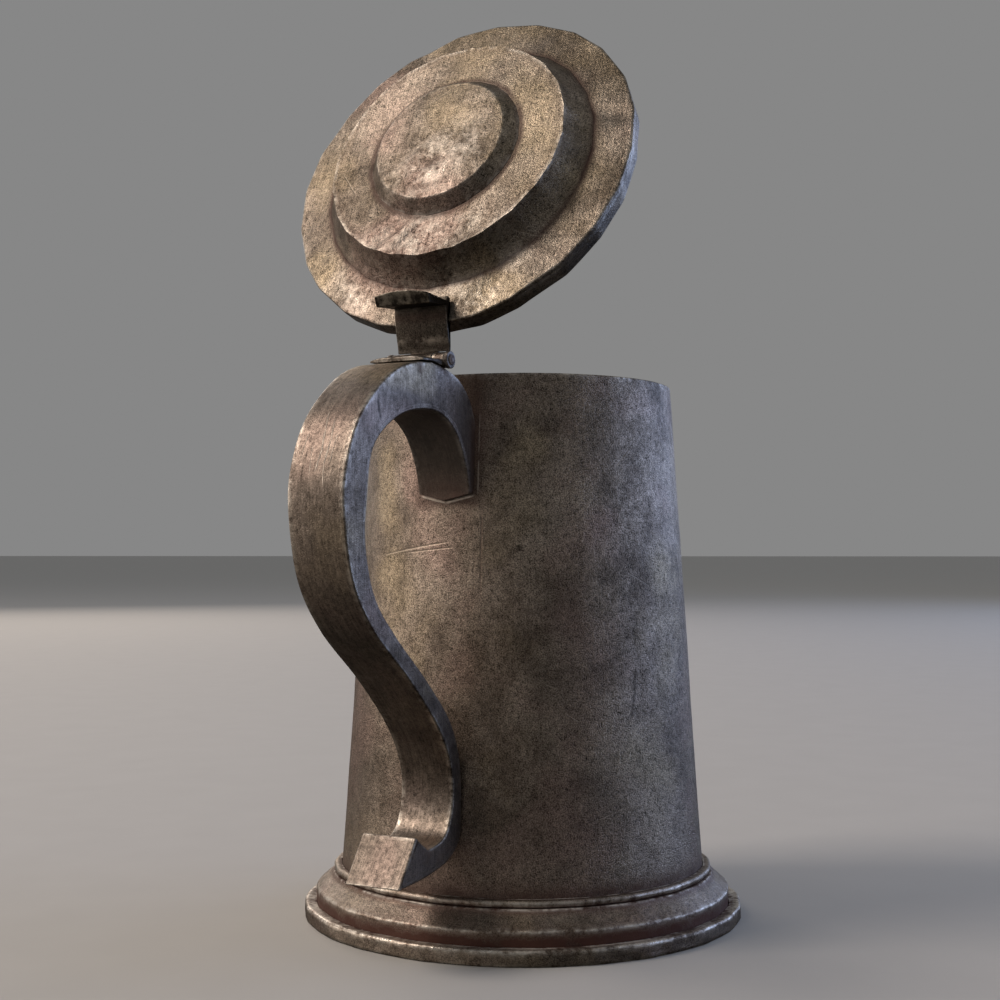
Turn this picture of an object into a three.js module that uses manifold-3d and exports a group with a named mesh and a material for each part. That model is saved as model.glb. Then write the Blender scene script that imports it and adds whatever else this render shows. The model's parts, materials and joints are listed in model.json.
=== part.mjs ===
// A lidded pewter tankard: a tapering drum on a moulded foot, a hollow flat-sided handle with a heel-shaped
// end, and a stepped lid that swings on a pin hinge on the handle's shoulder.
// Millimetres. Z = 0 is the table, Z points up along the drum, and X points from the drum towards the handle.
// Each piece is drawn with the drum's axis at X = 0. The finished tankard is then moved so that its origin lies
// on the table, under the middle of its whole outline.

import * as THREE from "three";
import { mergeVertices } from "three/addons/utils/BufferGeometryUtils.js";
import Module from "manifold-3d";

const wasm = await Module();
wasm.setup();

// ---- Driving dimensions ----

const ORIGIN_FROM_DRUM_AXIS = 22.9; // half the handle's reach beyond the foot
const GAP = 0.3; // room for solder between two pieces that are fixed together
const TURNED_SEGMENTS = 64; // facets round a large turned piece
const PIN_SEGMENTS = 24; // facets round the pin and the knuckles

// Drum
const LIP_HEIGHT = 158.4; // table to the drum's lip
const LIP_RADIUS = 45.7; // outside of the drum at the lip
const DRUM_FOOT_HEIGHT = 15.3; // where the drum's side leaves the collar bead
const DRUM_FOOT_RADIUS = 54.8; // outside of the drum there
const DRUM_WALL = 1.8; // sheet of the drum
const DRUM_BOTTOM = 8; // lower edge of the drum's sheet, inside the foot
const FLOOR_THICKNESS = 2;

// Foot
const BAND_RADIUS = 66.2; // widest turned part, the band that stands on the table
const BAND_HEIGHT = 4.6;
const BAND_INNER_RADIUS = 58.5; // inner edge of the ring that stands on the table
const BAND_SOLE = 1.8; // thickness of that ring
const WAIST_RADIUS = 62.6; // upright wall above the band
const WAIST_HEIGHT = 8.4; // top of the upright wall, where the bevel starts
const BEVEL_TOP_RADIUS = 57.4;
const BEVEL_TOP_HEIGHT = 13.2;
const FOOT_WALL = 2.3;
const BEAD_RADIUS = 57.2; // collar bead round the root of the drum

// Handle: a hollow strap of constant width, flat on both sides
const HANDLE_WIDTH = 16.6;
const HANDLE_WALL = 1.6;
const HANDLE_HOLLOW_START = 68; // distance from the drum's axis beyond which the handle is hollow
const ROOT_SIDES_HEIGHT = 124.4; // lower end of the handle's root, at its sides
const ROOT_POINT_HEIGHT = 122.5; // and in its middle
const HEEL_CAP_THICKNESS = 1.4;
const HANDLE_STEPS = 14; // straight steps along each stretch of the handle's outline

// Hinge
const HINGE_RADIUS_FROM_AXIS = 62.1; // drum's axis to the hinge's axis
const HINGE_HEIGHT = 160.1; // table to the hinge's axis
const KNUCKLE_RADIUS = 2.2;
const KNUCKLE_BORE = 1.1;
const PIN_RADIUS = 1;
const END_KNUCKLE_LENGTH = 3.6;
const KNUCKLE_CLEARANCE = 0.25; // between the knuckles that turn and those that don't
const WASHER_RADIUS = 2.4;
const WASHER_THICKNESS = 1.2;
const WASHER_BORE = 1.05;
const LEAF_THICKNESS = 1.6; // plate on the handle's shoulder that carries the end knuckles
const LEAF_END = 76; // where that plate ends, from the drum's axis

// Lid: heights are counted from the lower edge of its rim
const LID_OPEN_ANGLE = 65.7; // degrees from closed, the pose in which the tankard is stored
const LID_DROP = 2.2; // hinge's axis down to the lid's lower edge when closed
const LID_EDGE_RADIUS = 53.4; // widest edge of the flange
const LID_EDGE_HEIGHT = 6.1;
const LID_LOWER_RADIUS = 52.7; // the rim band tapers in to this
const LID_SHEET = 1.7;
const COVE_FOOT_RADIUS = 42;
const COVE_FOOT_HEIGHT = 7.3;
const COVE_HOLLOW = 0.3; // of the slope up to the plate: 0 is straight, 1 is a full quarter round
const STEP_RADIUS = 36.5; // crisp edge of the raised plate
const STEP_HEIGHT = 15.9;
const BOSS_FOOT_RADIUS = 23.3;
const BOSS_TOP_RADIUS = 20;
const BOSS_HEIGHT = 3.7;
const RIM_BAND_INNER_RADIUS = 50.4;
const BEZEL_OUTER_RADIUS = 43.2; // drops inside the drum's lip
const BEZEL_WALL = 1.5;
const BEZEL_DEPTH = 4; // below the lid's lower edge
const BEZEL_WEB = 1.5; // thickness of the shelf that sits on the lip
const SEAT_CLEARANCE = 0.1; // between that shelf and the lip when the lid is closed

// Thumbpiece
const THUMB_LEAN = 29; // degrees towards the handle when the lid is closed
const THUMB_LENGTH = 8.9; // from the strap to the broad end, on the handle's side
const THUMB_END_SIDES = 2.7; // thickness of the broad end at its sides
const THUMB_END_MIDDLE = 3.7; // and in its middle
const THUMB_FOOT_RATIO = 0.4; // thickness at the foot over thickness at the end
const THUMB_END_SLANT = 0.35; // how far the end slopes, per unit of its thickness

// ---- Materials ----

function pewter(name, colour, roughness) {
  return new THREE.MeshStandardMaterial({ name, color: colour, roughness, metalness: 1 });
}

const drumPewter = pewter("drum_pewter", 0x77726c, 0.5);
const footPewter = pewter("foot_pewter", 0x6f6862, 0.5);
const handlePewter = pewter("handle_pewter", 0x6a655f, 0.45);
const lidPewter = pewter("lid_pewter", 0x7a756f, 0.45);
const hingePewter = pewter("hinge_pewter", 0x55504b, 0.55);
const pinIron = pewter("pin_iron", 0x45403c, 0.6);

// ---- Shape helpers ----

// A ring or disc turned about Z from an outline of [radius, height] points. The outline runs anticlockwise
// with radius to the right and height upwards; one that touches the axis starts and ends there.
function turned(outline, segments = TURNED_SEGMENTS) {
  const points = outline.map(([radius, height]) => new THREE.Vector2(radius, height));
  if (points[0].x > 0) points.push(points[0].clone());
  return new THREE.LatheGeometry(points, segments).rotateX(Math.PI / 2);
}

// An outline of [x, z] points drawn as a side view and given a width along Y, centred on Y = 0.
function sidePlate(outline, width) {
  const shape = new THREE.Shape(outline.map(([x, z]) => new THREE.Vector2(x, z)));
  const plate = new THREE.ExtrudeGeometry(shape, { depth: width, bevelEnabled: false });
  return plate.rotateX(Math.PI / 2).translate(0, width / 2, 0);
}

// A round bar or tube along Y between two places, from its outer radius and its bore (0 for a solid bar).
function barAlongY(radius, bore, fromY, toY, chamfer = 0) {
  const outline = [
    [bore, fromY],
    [radius - chamfer, fromY],
    [radius, fromY + chamfer],
    [radius, toY - chamfer],
    [radius - chamfer, toY],
    [bore, toY],
  ];
  const distinct = outline.filter(
    ([r, y], i) => i === 0 || r !== outline[i - 1][0] || y !== outline[i - 1][1],
  );
  return turned(distinct, PIN_SEGMENTS).rotateX(-Math.PI / 2);
}

// Points of a smooth curve through the given [x, z] points.
function smooth(through, steps) {
  const curve = new THREE.SplineCurve(through.map(([x, z]) => new THREE.Vector2(x, z)));
  return curve.getPoints(steps).map((p) => [p.x, p.y]);
}

// Points of an ellipse's arc, with angles in degrees anticlockwise from the first axis.
function arc([cx, cy], rx, ry, from, to, steps) {
  const points = [];
  for (let i = 0; i <= steps; i++) {
    const a = THREE.MathUtils.degToRad(from + ((to - from) * i) / steps);
    points.push([cx + rx * Math.cos(a), cy + ry * Math.sin(a)]);
  }
  return points;
}

// An open line of points moved sideways to its left by a distance, with mitred corners.
function movedLeft(line, distance) {
  const point = (i) => new THREE.Vector2(...line[i]);
  const leftOf = (i) => {
    const along = point(i + 1).sub(point(i)).normalize();
    return new THREE.Vector2(-along.y, along.x);
  };
  return line.map((_, i) => {
    const before = leftOf(Math.max(i - 1, 0));
    const after = leftOf(Math.min(i, line.length - 2));
    const mitre = before.clone().add(after).normalize();
    const moved = point(i).addScaledVector(mitre, distance / mitre.dot(after));
    return [moved.x, moved.y];
  });
}

// ---- Joining and cutting ----

function solid(geometry) {
  const bare = geometry.clone();
  bare.deleteAttribute("normal");
  bare.deleteAttribute("uv");
  const merged = mergeVertices(bare, 1e-4);
  return new wasm.Manifold(
    new wasm.Mesh({
      numProp: 3,
      vertProperties: new Float32Array(merged.attributes.position.array),
      triVerts: new Uint32Array(merged.index.array),
    }),
  );
}

function geometryOf(manifold) {
  const mesh = manifold.getMesh();
  return new THREE.BufferGeometry()
    .setAttribute("position", new THREE.BufferAttribute(mesh.vertProperties, 3))
    .setIndex(new THREE.BufferAttribute(mesh.triVerts, 1));
}

function cut(geometry, ...tools) {
  return geometryOf(tools.reduce((body, tool) => body.subtract(solid(tool)), solid(geometry)));
}

function join(...geometries) {
  return geometryOf(geometries.map(solid).reduce((a, b) => a.add(b)));
}

function common(a, b) {
  return geometryOf(solid(a).intersect(solid(b)));
}

function addPiece(group, name, geometry, material) {
  const mesh = new THREE.Mesh(geometry, material);
  mesh.name = name;
  group.add(mesh);
}

// ---- Drum and foot ----

// Outside radius of the drum at a height; its side is one straight taper.
function drumRadius(height) {
  const t = (height - DRUM_FOOT_HEIGHT) / (LIP_HEIGHT - DRUM_FOOT_HEIGHT);
  return THREE.MathUtils.lerp(DRUM_FOOT_RADIUS, LIP_RADIUS, t);
}

function drumWall() {
  const softened = 0.5; // rounding of the lip
  return turned([
    [drumRadius(DRUM_BOTTOM) - DRUM_WALL, DRUM_BOTTOM],
    [drumRadius(DRUM_BOTTOM), DRUM_BOTTOM],
    [drumRadius(LIP_HEIGHT - softened), LIP_HEIGHT - softened],
    [LIP_RADIUS - softened, LIP_HEIGHT],
    [LIP_RADIUS - DRUM_WALL + softened, LIP_HEIGHT],
    [drumRadius(LIP_HEIGHT - softened) - DRUM_WALL, LIP_HEIGHT - softened],
  ]);
}

// The floor is a disc let into the lower end of the drum, dished a little towards its middle.
function drumFloor() {
  const underside = DRUM_BOTTOM + GAP;
  const top = underside + FLOOR_THICKNESS;
  const edge = drumRadius(top) - DRUM_WALL - GAP;
  const dish = 0.6;
  return turned([
    [0, underside],
    [edge, underside],
    [edge, top],
    [edge * 0.8, top],
    [edge * 0.4, top - dish],
    [0, top - dish],
  ]);
}

function footBand() {
  const edge = 0.8; // rounding of the band's upper edge
  return turned([
    [BAND_INNER_RADIUS, 0],
    [BAND_RADIUS - edge / 2, 0],
    [BAND_RADIUS, edge / 2],
    ...arc([BAND_RADIUS - edge, BAND_HEIGHT - edge], edge, edge, 0, 90, 3),
    [WAIST_RADIUS + GAP, BAND_HEIGHT],
    [WAIST_RADIUS + GAP, BAND_SOLE],
    [BAND_INNER_RADIUS, BAND_SOLE],
  ]);
}

// The foot's wall stands on the band's ring, turns in at a bevel and hugs the drum's lower end.
function footMoulding() {
  const underside = BAND_SOLE + GAP;
  const socket = (height) => drumRadius(height) + GAP;
  return turned([
    [WAIST_RADIUS - FOOT_WALL, underside],
    [WAIST_RADIUS, underside],
    [WAIST_RADIUS, WAIST_HEIGHT],
    [BEVEL_TOP_RADIUS, BEVEL_TOP_HEIGHT],
    [socket(BEVEL_TOP_HEIGHT), BEVEL_TOP_HEIGHT],
    [socket(DRUM_BOTTOM), DRUM_BOTTOM],
    [BEVEL_TOP_RADIUS, DRUM_BOTTOM],
    [WAIST_RADIUS - FOOT_WALL, DRUM_BOTTOM - (WAIST_RADIUS - FOOT_WALL - BEVEL_TOP_RADIUS)],
  ]);
}

function collarBead() {
  const underside = BEVEL_TOP_HEIGHT + GAP;
  const half = (DRUM_FOOT_HEIGHT - underside) / 2;
  return turned([
    [drumRadius(underside) + GAP, underside],
    ...arc([BEAD_RADIUS - half, underside + half], half, half, -90, 90, 6),
    [drumRadius(underside) + GAP, DRUM_FOOT_HEIGHT],
  ]);
}

// ---- Handle ----

// The handle's back, from the shoulder on the drum, over the arch and down to the notch above its heel.
const SHOULDER = [[44, 141], [48, 150], [54, 155.2], [61, 157.7], [70, 158.9]];
const BACK_SWEEP = [
  [70, 158.9], [82, 157.1], [93.2, 152], [104.8, 141.8], [110.7, 130], [111.9, 118.4], [108, 101.5],
  [98, 88.4], [81, 75.3], [66.5, 62], [59.5, 51], [58.6, 40.5], [62.5, 33], [71.1, 31],
];
// The heel flares out of that notch to a flat end face.
const HEEL_TOP = [77.4, 35];
const HEEL_TOE = [86, 23.1];
// The side that faces the drum, from the toe up to the root.
const INSIDE_SWEEP = [
  [86, 23.1], [73, 23.8], [61, 26], [54.6, 30.5], [53.3, 37], [53.3, 45], [55, 54.5], [60.5, 64],
  [73, 75.6], [87, 86.6], [97, 96.5], [101.5, 108.5], [101.6, 120], [98.5, 134], [88, 142.2],
  [76, 145.5], [65, 145.2], [56.5, 140.5], [51.4, 132.8], [49.3, 126], [48.6, 121], [46, 114],
];

const insideLine = smooth(INSIDE_SWEEP, HANDLE_STEPS * 3);
const backLine = [...smooth(SHOULDER, HANDLE_STEPS / 2), ...smooth(BACK_SWEEP, HANDLE_STEPS * 2).slice(1)];

// Everything nearer the drum's axis than the drum's skin and its solder.
function drumEnvelope() {
  return turned([
    [0, DRUM_BOTTOM],
    [drumRadius(DRUM_BOTTOM) + GAP, DRUM_BOTTOM],
    [drumRadius(LIP_HEIGHT) + GAP, LIP_HEIGHT],
    [0, LIP_HEIGHT],
  ]);
}

// All that lies below the root's lower end, which comes to a shallow point in the middle of its width.
function belowRoot() {
  const side = HANDLE_WIDTH / 2 + 1;
  const shape = new THREE.Shape([
    new THREE.Vector2(-side, ROOT_SIDES_HEIGHT),
    new THREE.Vector2(-side, ROOT_POINT_HEIGHT - 15),
    new THREE.Vector2(side, ROOT_POINT_HEIGHT - 15),
    new THREE.Vector2(side, ROOT_SIDES_HEIGHT),
    new THREE.Vector2(0, ROOT_POINT_HEIGHT),
  ]);
  const depth = 7;
  const tool = new THREE.ExtrudeGeometry(shape, { depth, bevelEnabled: false });
  return tool.rotateX(Math.PI / 2).rotateZ(Math.PI / 2).translate(drumRadius(ROOT_POINT_HEIGHT) - depth / 2, 0, 0);
}

// The side view of the whole handle as one outline, and the strip along its inner side.
function handleBlock() {
  return sidePlate([...backLine, HEEL_TOP, ...insideLine], HANDLE_WIDTH);
}

function innerStripBlock(thickness) {
  const outerFace = movedLeft(insideLine, -thickness).reverse();
  return sidePlate([...insideLine, ...outerFace], HANDLE_WIDTH + 2);
}

// All that lies beyond a plane set back from the heel's end face.
function beyondHeel(setBack) {
  const face = new THREE.Vector2(HEEL_TOE[0] - HEEL_TOP[0], HEEL_TOE[1] - HEEL_TOP[1]).normalize();
  const out = new THREE.Vector2(-face.y, face.x);
  const corner = (along, outwards) => [
    HEEL_TOP[0] + face.x * along + out.x * outwards,
    HEEL_TOP[1] + face.y * along + out.y * outwards,
  ];
  return sidePlate(
    [corner(-8, -setBack), corner(24, -setBack), corner(24, 8), corner(-8, 8)],
    HANDLE_WIDTH + 2,
  );
}

// The shoulder is hollowed a little where the hinge's barrel lies in it.
function barrelSeat() {
  const half = HANDLE_WIDTH / 2 + 1;
  return barAlongY(KNUCKLE_RADIUS + GAP, 0, -half, half).translate(HINGE_RADIUS_FROM_AXIS, 0, HINGE_HEIGHT);
}

function handleHollow() {
  const beyond = (line) => line.filter(([x, z]) => x > HANDLE_HOLLOW_START || z < LIP_HEIGHT / 2);
  const back = beyond(movedLeft(backLine.slice(0, -3), -HANDLE_WALL));
  const inside = beyond(movedLeft(insideLine.slice(3), HANDLE_WALL)).filter(([, z]) => z > back.at(-1)[1]);
  return sidePlate([...back, ...inside], HANDLE_WIDTH - 2 * HANDLE_WALL);
}

function handleShell() {
  return cut(
    handleBlock(),
    innerStripBlock(HANDLE_WALL + GAP),
    handleHollow(),
    beyondHeel(HEEL_CAP_THICKNESS + GAP),
    barrelSeat(),
    drumEnvelope(),
  );
}

function handleInnerStrip() {
  const strip = common(handleBlock(), innerStripBlock(HANDLE_WALL));
  return cut(strip, beyondHeel(HEEL_CAP_THICKNESS + GAP), drumEnvelope(), belowRoot());
}

function handleHeelCap() {
  return common(handleBlock(), beyondHeel(HEEL_CAP_THICKNESS));
}

// ---- Hinge on the handle ----

// The leaf follows the handle's back from the barrel to its rounded front edge.
function hingeLeaf() {
  const start = HINGE_RADIUS_FROM_AXIS + KNUCKLE_RADIUS + GAP;
  const bed = movedLeft(backLine, GAP).filter(([x, z]) => x > start && x < LEAF_END && z > HINGE_HEIGHT / 2);
  const top = movedLeft(bed, LEAF_THICKNESS);
  const lastTop = top.pop();
  const nose = [[lastTop[0] - 0.8, lastTop[1]], [lastTop[0], lastTop[1] - 0.7]];
  return sidePlate([...top, ...nose, ...bed.reverse()].reverse(), HANDLE_WIDTH);
}

const halfWidth = HANDLE_WIDTH / 2;
const middleKnuckleHalf = halfWidth - END_KNUCKLE_LENGTH - KNUCKLE_CLEARANCE;

function endKnuckle(side) {
  const inner = halfWidth - END_KNUCKLE_LENGTH;
  const [from, to] = side > 0 ? [inner, halfWidth] : [-halfWidth, -inner];
  return barAlongY(KNUCKLE_RADIUS, KNUCKLE_BORE, from, to, 0.2);
}

function pinWasher(side) {
  const inner = halfWidth + GAP / 2;
  const outer = inner + WASHER_THICKNESS;
  const [from, to] = side > 0 ? [inner, outer] : [-outer, -inner];
  return barAlongY(WASHER_RADIUS, WASHER_BORE, from, to, 0.25);
}

// The pin is peened over the washers at both ends.
function hingePin() {
  const washerFace = halfWidth + GAP / 2 + WASHER_THICKNESS + 0.05;
  const peenHeight = 0.6;
  const peenRadius = 1.5;
  const end = [
    [PIN_RADIUS, washerFace],
    [peenRadius, washerFace],
    [peenRadius * 0.8, washerFace + peenHeight * 0.7],
    [0, washerFace + peenHeight],
  ];
  const otherEnd = end.map(([r, y]) => [r, -y]).reverse();
  return turned([...otherEnd, ...end], PIN_SEGMENTS).rotateX(-Math.PI / 2);
}

// ---- Lid, drawn closed, with the hinge's axis at the origin and the drum towards -X ----

const lidCentre = -HINGE_RADIUS_FROM_AXIS;

function lidTurned(outline) {
  return turned(outline.map(([r, height]) => [r, height - LID_DROP])).translate(lidCentre, 0, 0);
}

// Side views on the hinge give [distance from the hinge's axis towards the drum, height above it].
function lidPlate(outline, width) {
  return sidePlate(outline.map(([towardsDrum, height]) => [-towardsDrum, height]).reverse(), width);
}

// The strap that joins the middle knuckle to the lid runs up over the lid's edge onto the flange.
const STRAP_TOP = [[3.4, -0.7], [7.5, 2.8], [13.4, 6.5], [16.4, 6.6]];
const STRAP_BASE = [[3.4, -1], [8.3, 1.1], [11.4, 4.5], [16.4, 5.1]];

function lidStrap() {
  return lidPlate([...STRAP_BASE, ...STRAP_TOP.slice().reverse()], HANDLE_WIDTH);
}

// The lid's edge is cut back where the strap passes over it.
function strapRecess() {
  const floor = STRAP_BASE.map(([along, height]) => [along, height - GAP]);
  const above = 12;
  return lidPlate([...floor, [floor.at(-1)[0], above], [floor[0][0], above]], HANDLE_WIDTH + 2 * GAP);
}

// The slope from the flange up to the raised middle is partly hollowed, between straight and a quarter round.
function coveLine() {
  const width = COVE_FOOT_RADIUS - STEP_RADIUS;
  const rise = STEP_HEIGHT - COVE_FOOT_HEIGHT;
  const round = arc([COVE_FOOT_RADIUS, STEP_HEIGHT], width, rise, 270, 180, 7);
  return round.map(([radius, height], i) => {
    const climbed = i / (round.length - 1);
    const straight = [COVE_FOOT_RADIUS - width * climbed, COVE_FOOT_HEIGHT + rise * climbed];
    return [
      straight[0] + (radius - straight[0]) * COVE_HOLLOW,
      straight[1] + (height - straight[1]) * COVE_HOLLOW,
    ];
  });
}

function lidTopLine() {
  return [[LID_EDGE_RADIUS, LID_EDGE_HEIGHT], ...coveLine(), [0, STEP_HEIGHT]];
}

function lidCap() {
  const top = lidTopLine();
  const under = movedLeft(top, LID_SHEET).reverse();
  under[0][0] = 0;
  return cut(lidTurned([...under, ...top]), strapRecess());
}

function lidBoss() {
  const foot = STEP_HEIGHT + GAP;
  const top = STEP_HEIGHT + BOSS_HEIGHT;
  return lidTurned([
    [0, foot],
    [BOSS_FOOT_RADIUS, foot],
    [BOSS_TOP_RADIUS + 0.4, top - 0.5],
    [BOSS_TOP_RADIUS - 0.4, top],
    [0, top + 0.4],
  ]);
}

function lidRimBand() {
  const top = LID_EDGE_HEIGHT - LID_SHEET - GAP;
  const taper = (LID_EDGE_RADIUS - LID_LOWER_RADIUS) / LID_EDGE_HEIGHT;
  const band = lidTurned([
    [RIM_BAND_INNER_RADIUS, 0],
    [LID_LOWER_RADIUS, 0],
    [LID_LOWER_RADIUS + taper * top, top],
    [RIM_BAND_INNER_RADIUS, top],
  ]);
  return cut(band, strapRecess());
}

// The bezel drops inside the lip and carries the shelf that sits on it.
function lidBezel() {
  const lip = LIP_HEIGHT - HINGE_HEIGHT + LID_DROP;
  const shelf = lip + SEAT_CLEARANCE;
  const inner = BEZEL_OUTER_RADIUS - BEZEL_WALL;
  const top = COVE_FOOT_HEIGHT - LID_SHEET - 2 * GAP;
  const outer = RIM_BAND_INNER_RADIUS - GAP;
  return lidTurned([
    [inner, -BEZEL_DEPTH],
    [BEZEL_OUTER_RADIUS, -BEZEL_DEPTH],
    [BEZEL_OUTER_RADIUS, shelf],
    [outer, shelf],
    [outer, shelf + BEZEL_WEB],
    [BEZEL_OUTER_RADIUS, shelf + BEZEL_WEB],
    [BEZEL_OUTER_RADIUS, top],
    [inner, top],
  ]);
}

// The middle knuckle has a short web under the strap.
function lidKnuckle() {
  const width = 2 * middleKnuckleHalf;
  const web = lidPlate([[0, -2], [3.1, -1.9], [6.6, -0.3], [3.6, -1.2], [2.6, -0.6], [0, 0]], width);
  const barrel = barAlongY(KNUCKLE_RADIUS, 0, -middleKnuckleHalf, middleKnuckleHalf);
  const bore = barAlongY(KNUCKLE_BORE, 0, -halfWidth, halfWidth);
  return cut(join(barrel, web), bore);
}

// The thumbpiece is a wedge that leans back over the hinge. Its broad end, which the thumb presses, is flat on
// the handle's side and arched on the lid's side.
function thumbpiece() {
  const buried = 2; // drawn longer at the foot, then cut level with the strap
  const length = THUMB_LENGTH + buried;
  const end = new THREE.Shape();
  end.moveTo(-halfWidth, 0);
  end.lineTo(halfWidth, 0);
  end.lineTo(halfWidth, THUMB_END_SIDES);
  end.quadraticCurveTo(0, 2 * THUMB_END_MIDDLE - THUMB_END_SIDES, -halfWidth, THUMB_END_SIDES);
  end.closePath();
  const wedge = new THREE.ExtrudeGeometry(end, { depth: length, bevelEnabled: false, curveSegments: 10 });
  const corners = wedge.attributes.position;
  for (let i = 0; i < corners.count; i++) {
    const t = corners.getZ(i) / length;
    const thickness = corners.getY(i);
    corners.setY(i, thickness * THREE.MathUtils.lerp(THUMB_FOOT_RATIO, 1, t));
    corners.setZ(i, length * t + THUMB_END_SLANT * thickness * t);
  }
  const [footAlong, footTop] = STRAP_TOP[2];
  const footHeight = footTop + GAP;
  wedge
    .translate(0, 0, -buried)
    .rotateZ(Math.PI / 2)
    .rotateY(THREE.MathUtils.degToRad(THUMB_LEAN))
    .translate(-footAlong, 0, footHeight);
  const strapTopEnd = STRAP_TOP[3][1] + GAP;
  const below = [[-30, -30], [30, -30], [30, strapTopEnd + 0.5], [footAlong, footHeight], [-30, footHeight]];
  return cut(wedge, lidPlate(below, HANDLE_WIDTH + 2));
}

// ---- The tankard ----

const tankard = new THREE.Group();
tankard.position.x = -ORIGIN_FROM_DRUM_AXIS;
addPiece(tankard, "drum_wall", drumWall(), drumPewter);
addPiece(tankard, "drum_floor", drumFloor(), drumPewter);
addPiece(tankard, "foot_rim_band", footBand(), footPewter);
addPiece(tankard, "foot_moulding", footMoulding(), footPewter);
addPiece(tankard, "collar_bead", collarBead(), footPewter);
addPiece(tankard, "handle_shell", handleShell(), handlePewter);
addPiece(tankard, "handle_inner_strip", handleInnerStrip(), handlePewter);
addPiece(tankard, "handle_heel_cap", handleHeelCap(), handlePewter);
addPiece(tankard, "hinge_leaf", hingeLeaf(), hingePewter);

const hinge = new THREE.Group();
hinge.position.set(HINGE_RADIUS_FROM_AXIS, 0, HINGE_HEIGHT);
tankard.add(hinge);
addPiece(hinge, "hinge_pin", hingePin(), pinIron);
for (const [side, label] of [[1, "left"], [-1, "right"]]) {
  addPiece(hinge, `hinge_knuckle_${label}`, endKnuckle(side), hingePewter);
  addPiece(hinge, `pin_washer_${label}`, pinWasher(side), hingePewter);
}

const lid = new THREE.Group();
lid.rotation.y = THREE.MathUtils.degToRad(LID_OPEN_ANGLE);
hinge.add(lid);
addPiece(lid, "lid_cap", lidCap(), lidPewter);
addPiece(lid, "lid_boss", lidBoss(), lidPewter);
addPiece(lid, "lid_rim_band", lidRimBand(), lidPewter);
addPiece(lid, "lid_bezel", lidBezel(), lidPewter);
addPiece(lid, "lid_strap", lidStrap(), hingePewter);
addPiece(lid, "lid_knuckle", lidKnuckle(), hingePewter);
addPiece(lid, "thumbpiece", thumbpiece(), hingePewter);

export default tankard;
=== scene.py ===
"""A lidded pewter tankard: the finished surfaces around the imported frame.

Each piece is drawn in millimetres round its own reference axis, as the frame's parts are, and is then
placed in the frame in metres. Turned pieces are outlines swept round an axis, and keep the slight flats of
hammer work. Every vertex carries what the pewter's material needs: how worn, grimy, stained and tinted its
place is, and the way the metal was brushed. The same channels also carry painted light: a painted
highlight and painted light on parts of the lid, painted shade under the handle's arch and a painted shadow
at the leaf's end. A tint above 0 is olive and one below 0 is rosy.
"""

import json
import math

import bmesh
import bpy
import numpy as np
from mathutils import Matrix, Vector


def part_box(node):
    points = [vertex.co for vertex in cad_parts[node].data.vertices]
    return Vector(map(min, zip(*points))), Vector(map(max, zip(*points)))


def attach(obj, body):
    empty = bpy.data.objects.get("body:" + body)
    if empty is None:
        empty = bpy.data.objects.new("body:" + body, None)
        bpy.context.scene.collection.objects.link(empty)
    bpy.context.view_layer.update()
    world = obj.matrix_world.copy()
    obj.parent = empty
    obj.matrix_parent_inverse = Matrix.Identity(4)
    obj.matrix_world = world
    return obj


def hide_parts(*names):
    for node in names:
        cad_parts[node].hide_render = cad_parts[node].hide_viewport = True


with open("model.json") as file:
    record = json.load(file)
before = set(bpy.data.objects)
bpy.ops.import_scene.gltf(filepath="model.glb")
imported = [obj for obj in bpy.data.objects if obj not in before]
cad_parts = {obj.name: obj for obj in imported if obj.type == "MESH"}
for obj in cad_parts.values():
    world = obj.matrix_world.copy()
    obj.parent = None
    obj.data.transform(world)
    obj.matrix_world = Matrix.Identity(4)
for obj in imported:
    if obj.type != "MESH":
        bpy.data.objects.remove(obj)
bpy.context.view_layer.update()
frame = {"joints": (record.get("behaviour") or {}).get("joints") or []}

# ---- What the frame says ----

MM = 0.001
VESSEL, LID = "vessel", "lid"
hinge_joint = frame["joints"][0]
drum_lo, drum_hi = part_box("drum_wall")
band_lo, band_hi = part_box("foot_rim_band")
handle_lo, handle_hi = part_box("handle_shell")

DRUM_AXIS = Vector(((drum_lo.x + drum_hi.x) / 2, 0, 0))
HINGE = Vector(hinge_joint["pos_m"])
LID_OPEN_ANGLE = math.radians(-hinge_joint["range_deg"][0])

# Where a piece that is drawn in millimetres goes
AT_DRUM = Matrix.Translation(DRUM_AXIS) @ Matrix.Scale(MM, 4)
AT_HINGE = Matrix.Translation(HINGE) @ Matrix.Scale(MM, 4)
AT_LID = Matrix.Translation(HINGE) @ Matrix.Rotation(LID_OPEN_ANGLE, 4, "Y") @ Matrix.Scale(MM, 4)
Z_TO_Y = Matrix.Rotation(-math.pi / 2, 4, "X")

# ---- Driving dimensions, in millimetres ----

LIP_HEIGHT = drum_hi.z / MM
LIP_RADIUS = 45.7
DRUM_BOTTOM = drum_lo.z / MM
DRUM_FOOT_HEIGHT = 15.3
DRUM_FOOT_RADIUS = 54.8
DRUM_WALL = 1.8
DRUM_FLATS = 30

BAND_RADIUS = (band_hi.x - band_lo.x) / 2 / MM
BAND_HEIGHT = band_hi.z / MM
BAND_INNER_RADIUS = 58.5
BAND_SOLE = 1.8
WAIST_RADIUS = 62.6
WAIST_HEIGHT = 8.4
BEVEL_TOP_RADIUS = 57.4
BEVEL_TOP_HEIGHT = 13.2
FOOT_WALL = 2.3
BEAD_RADIUS = 57.2

HALF_WIDTH = (handle_hi.y - handle_lo.y) / 2 / MM
HANDLE_WALL = 1.6
HANDLE_ARRIS = 0.55
HANDLE_UNEVENNESS = 0.22
ROOT_SIDES_HEIGHT = 124.4
ROOT_POINT_HEIGHT = 122.5
HEEL_CAP_THICKNESS = 1.4

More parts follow.
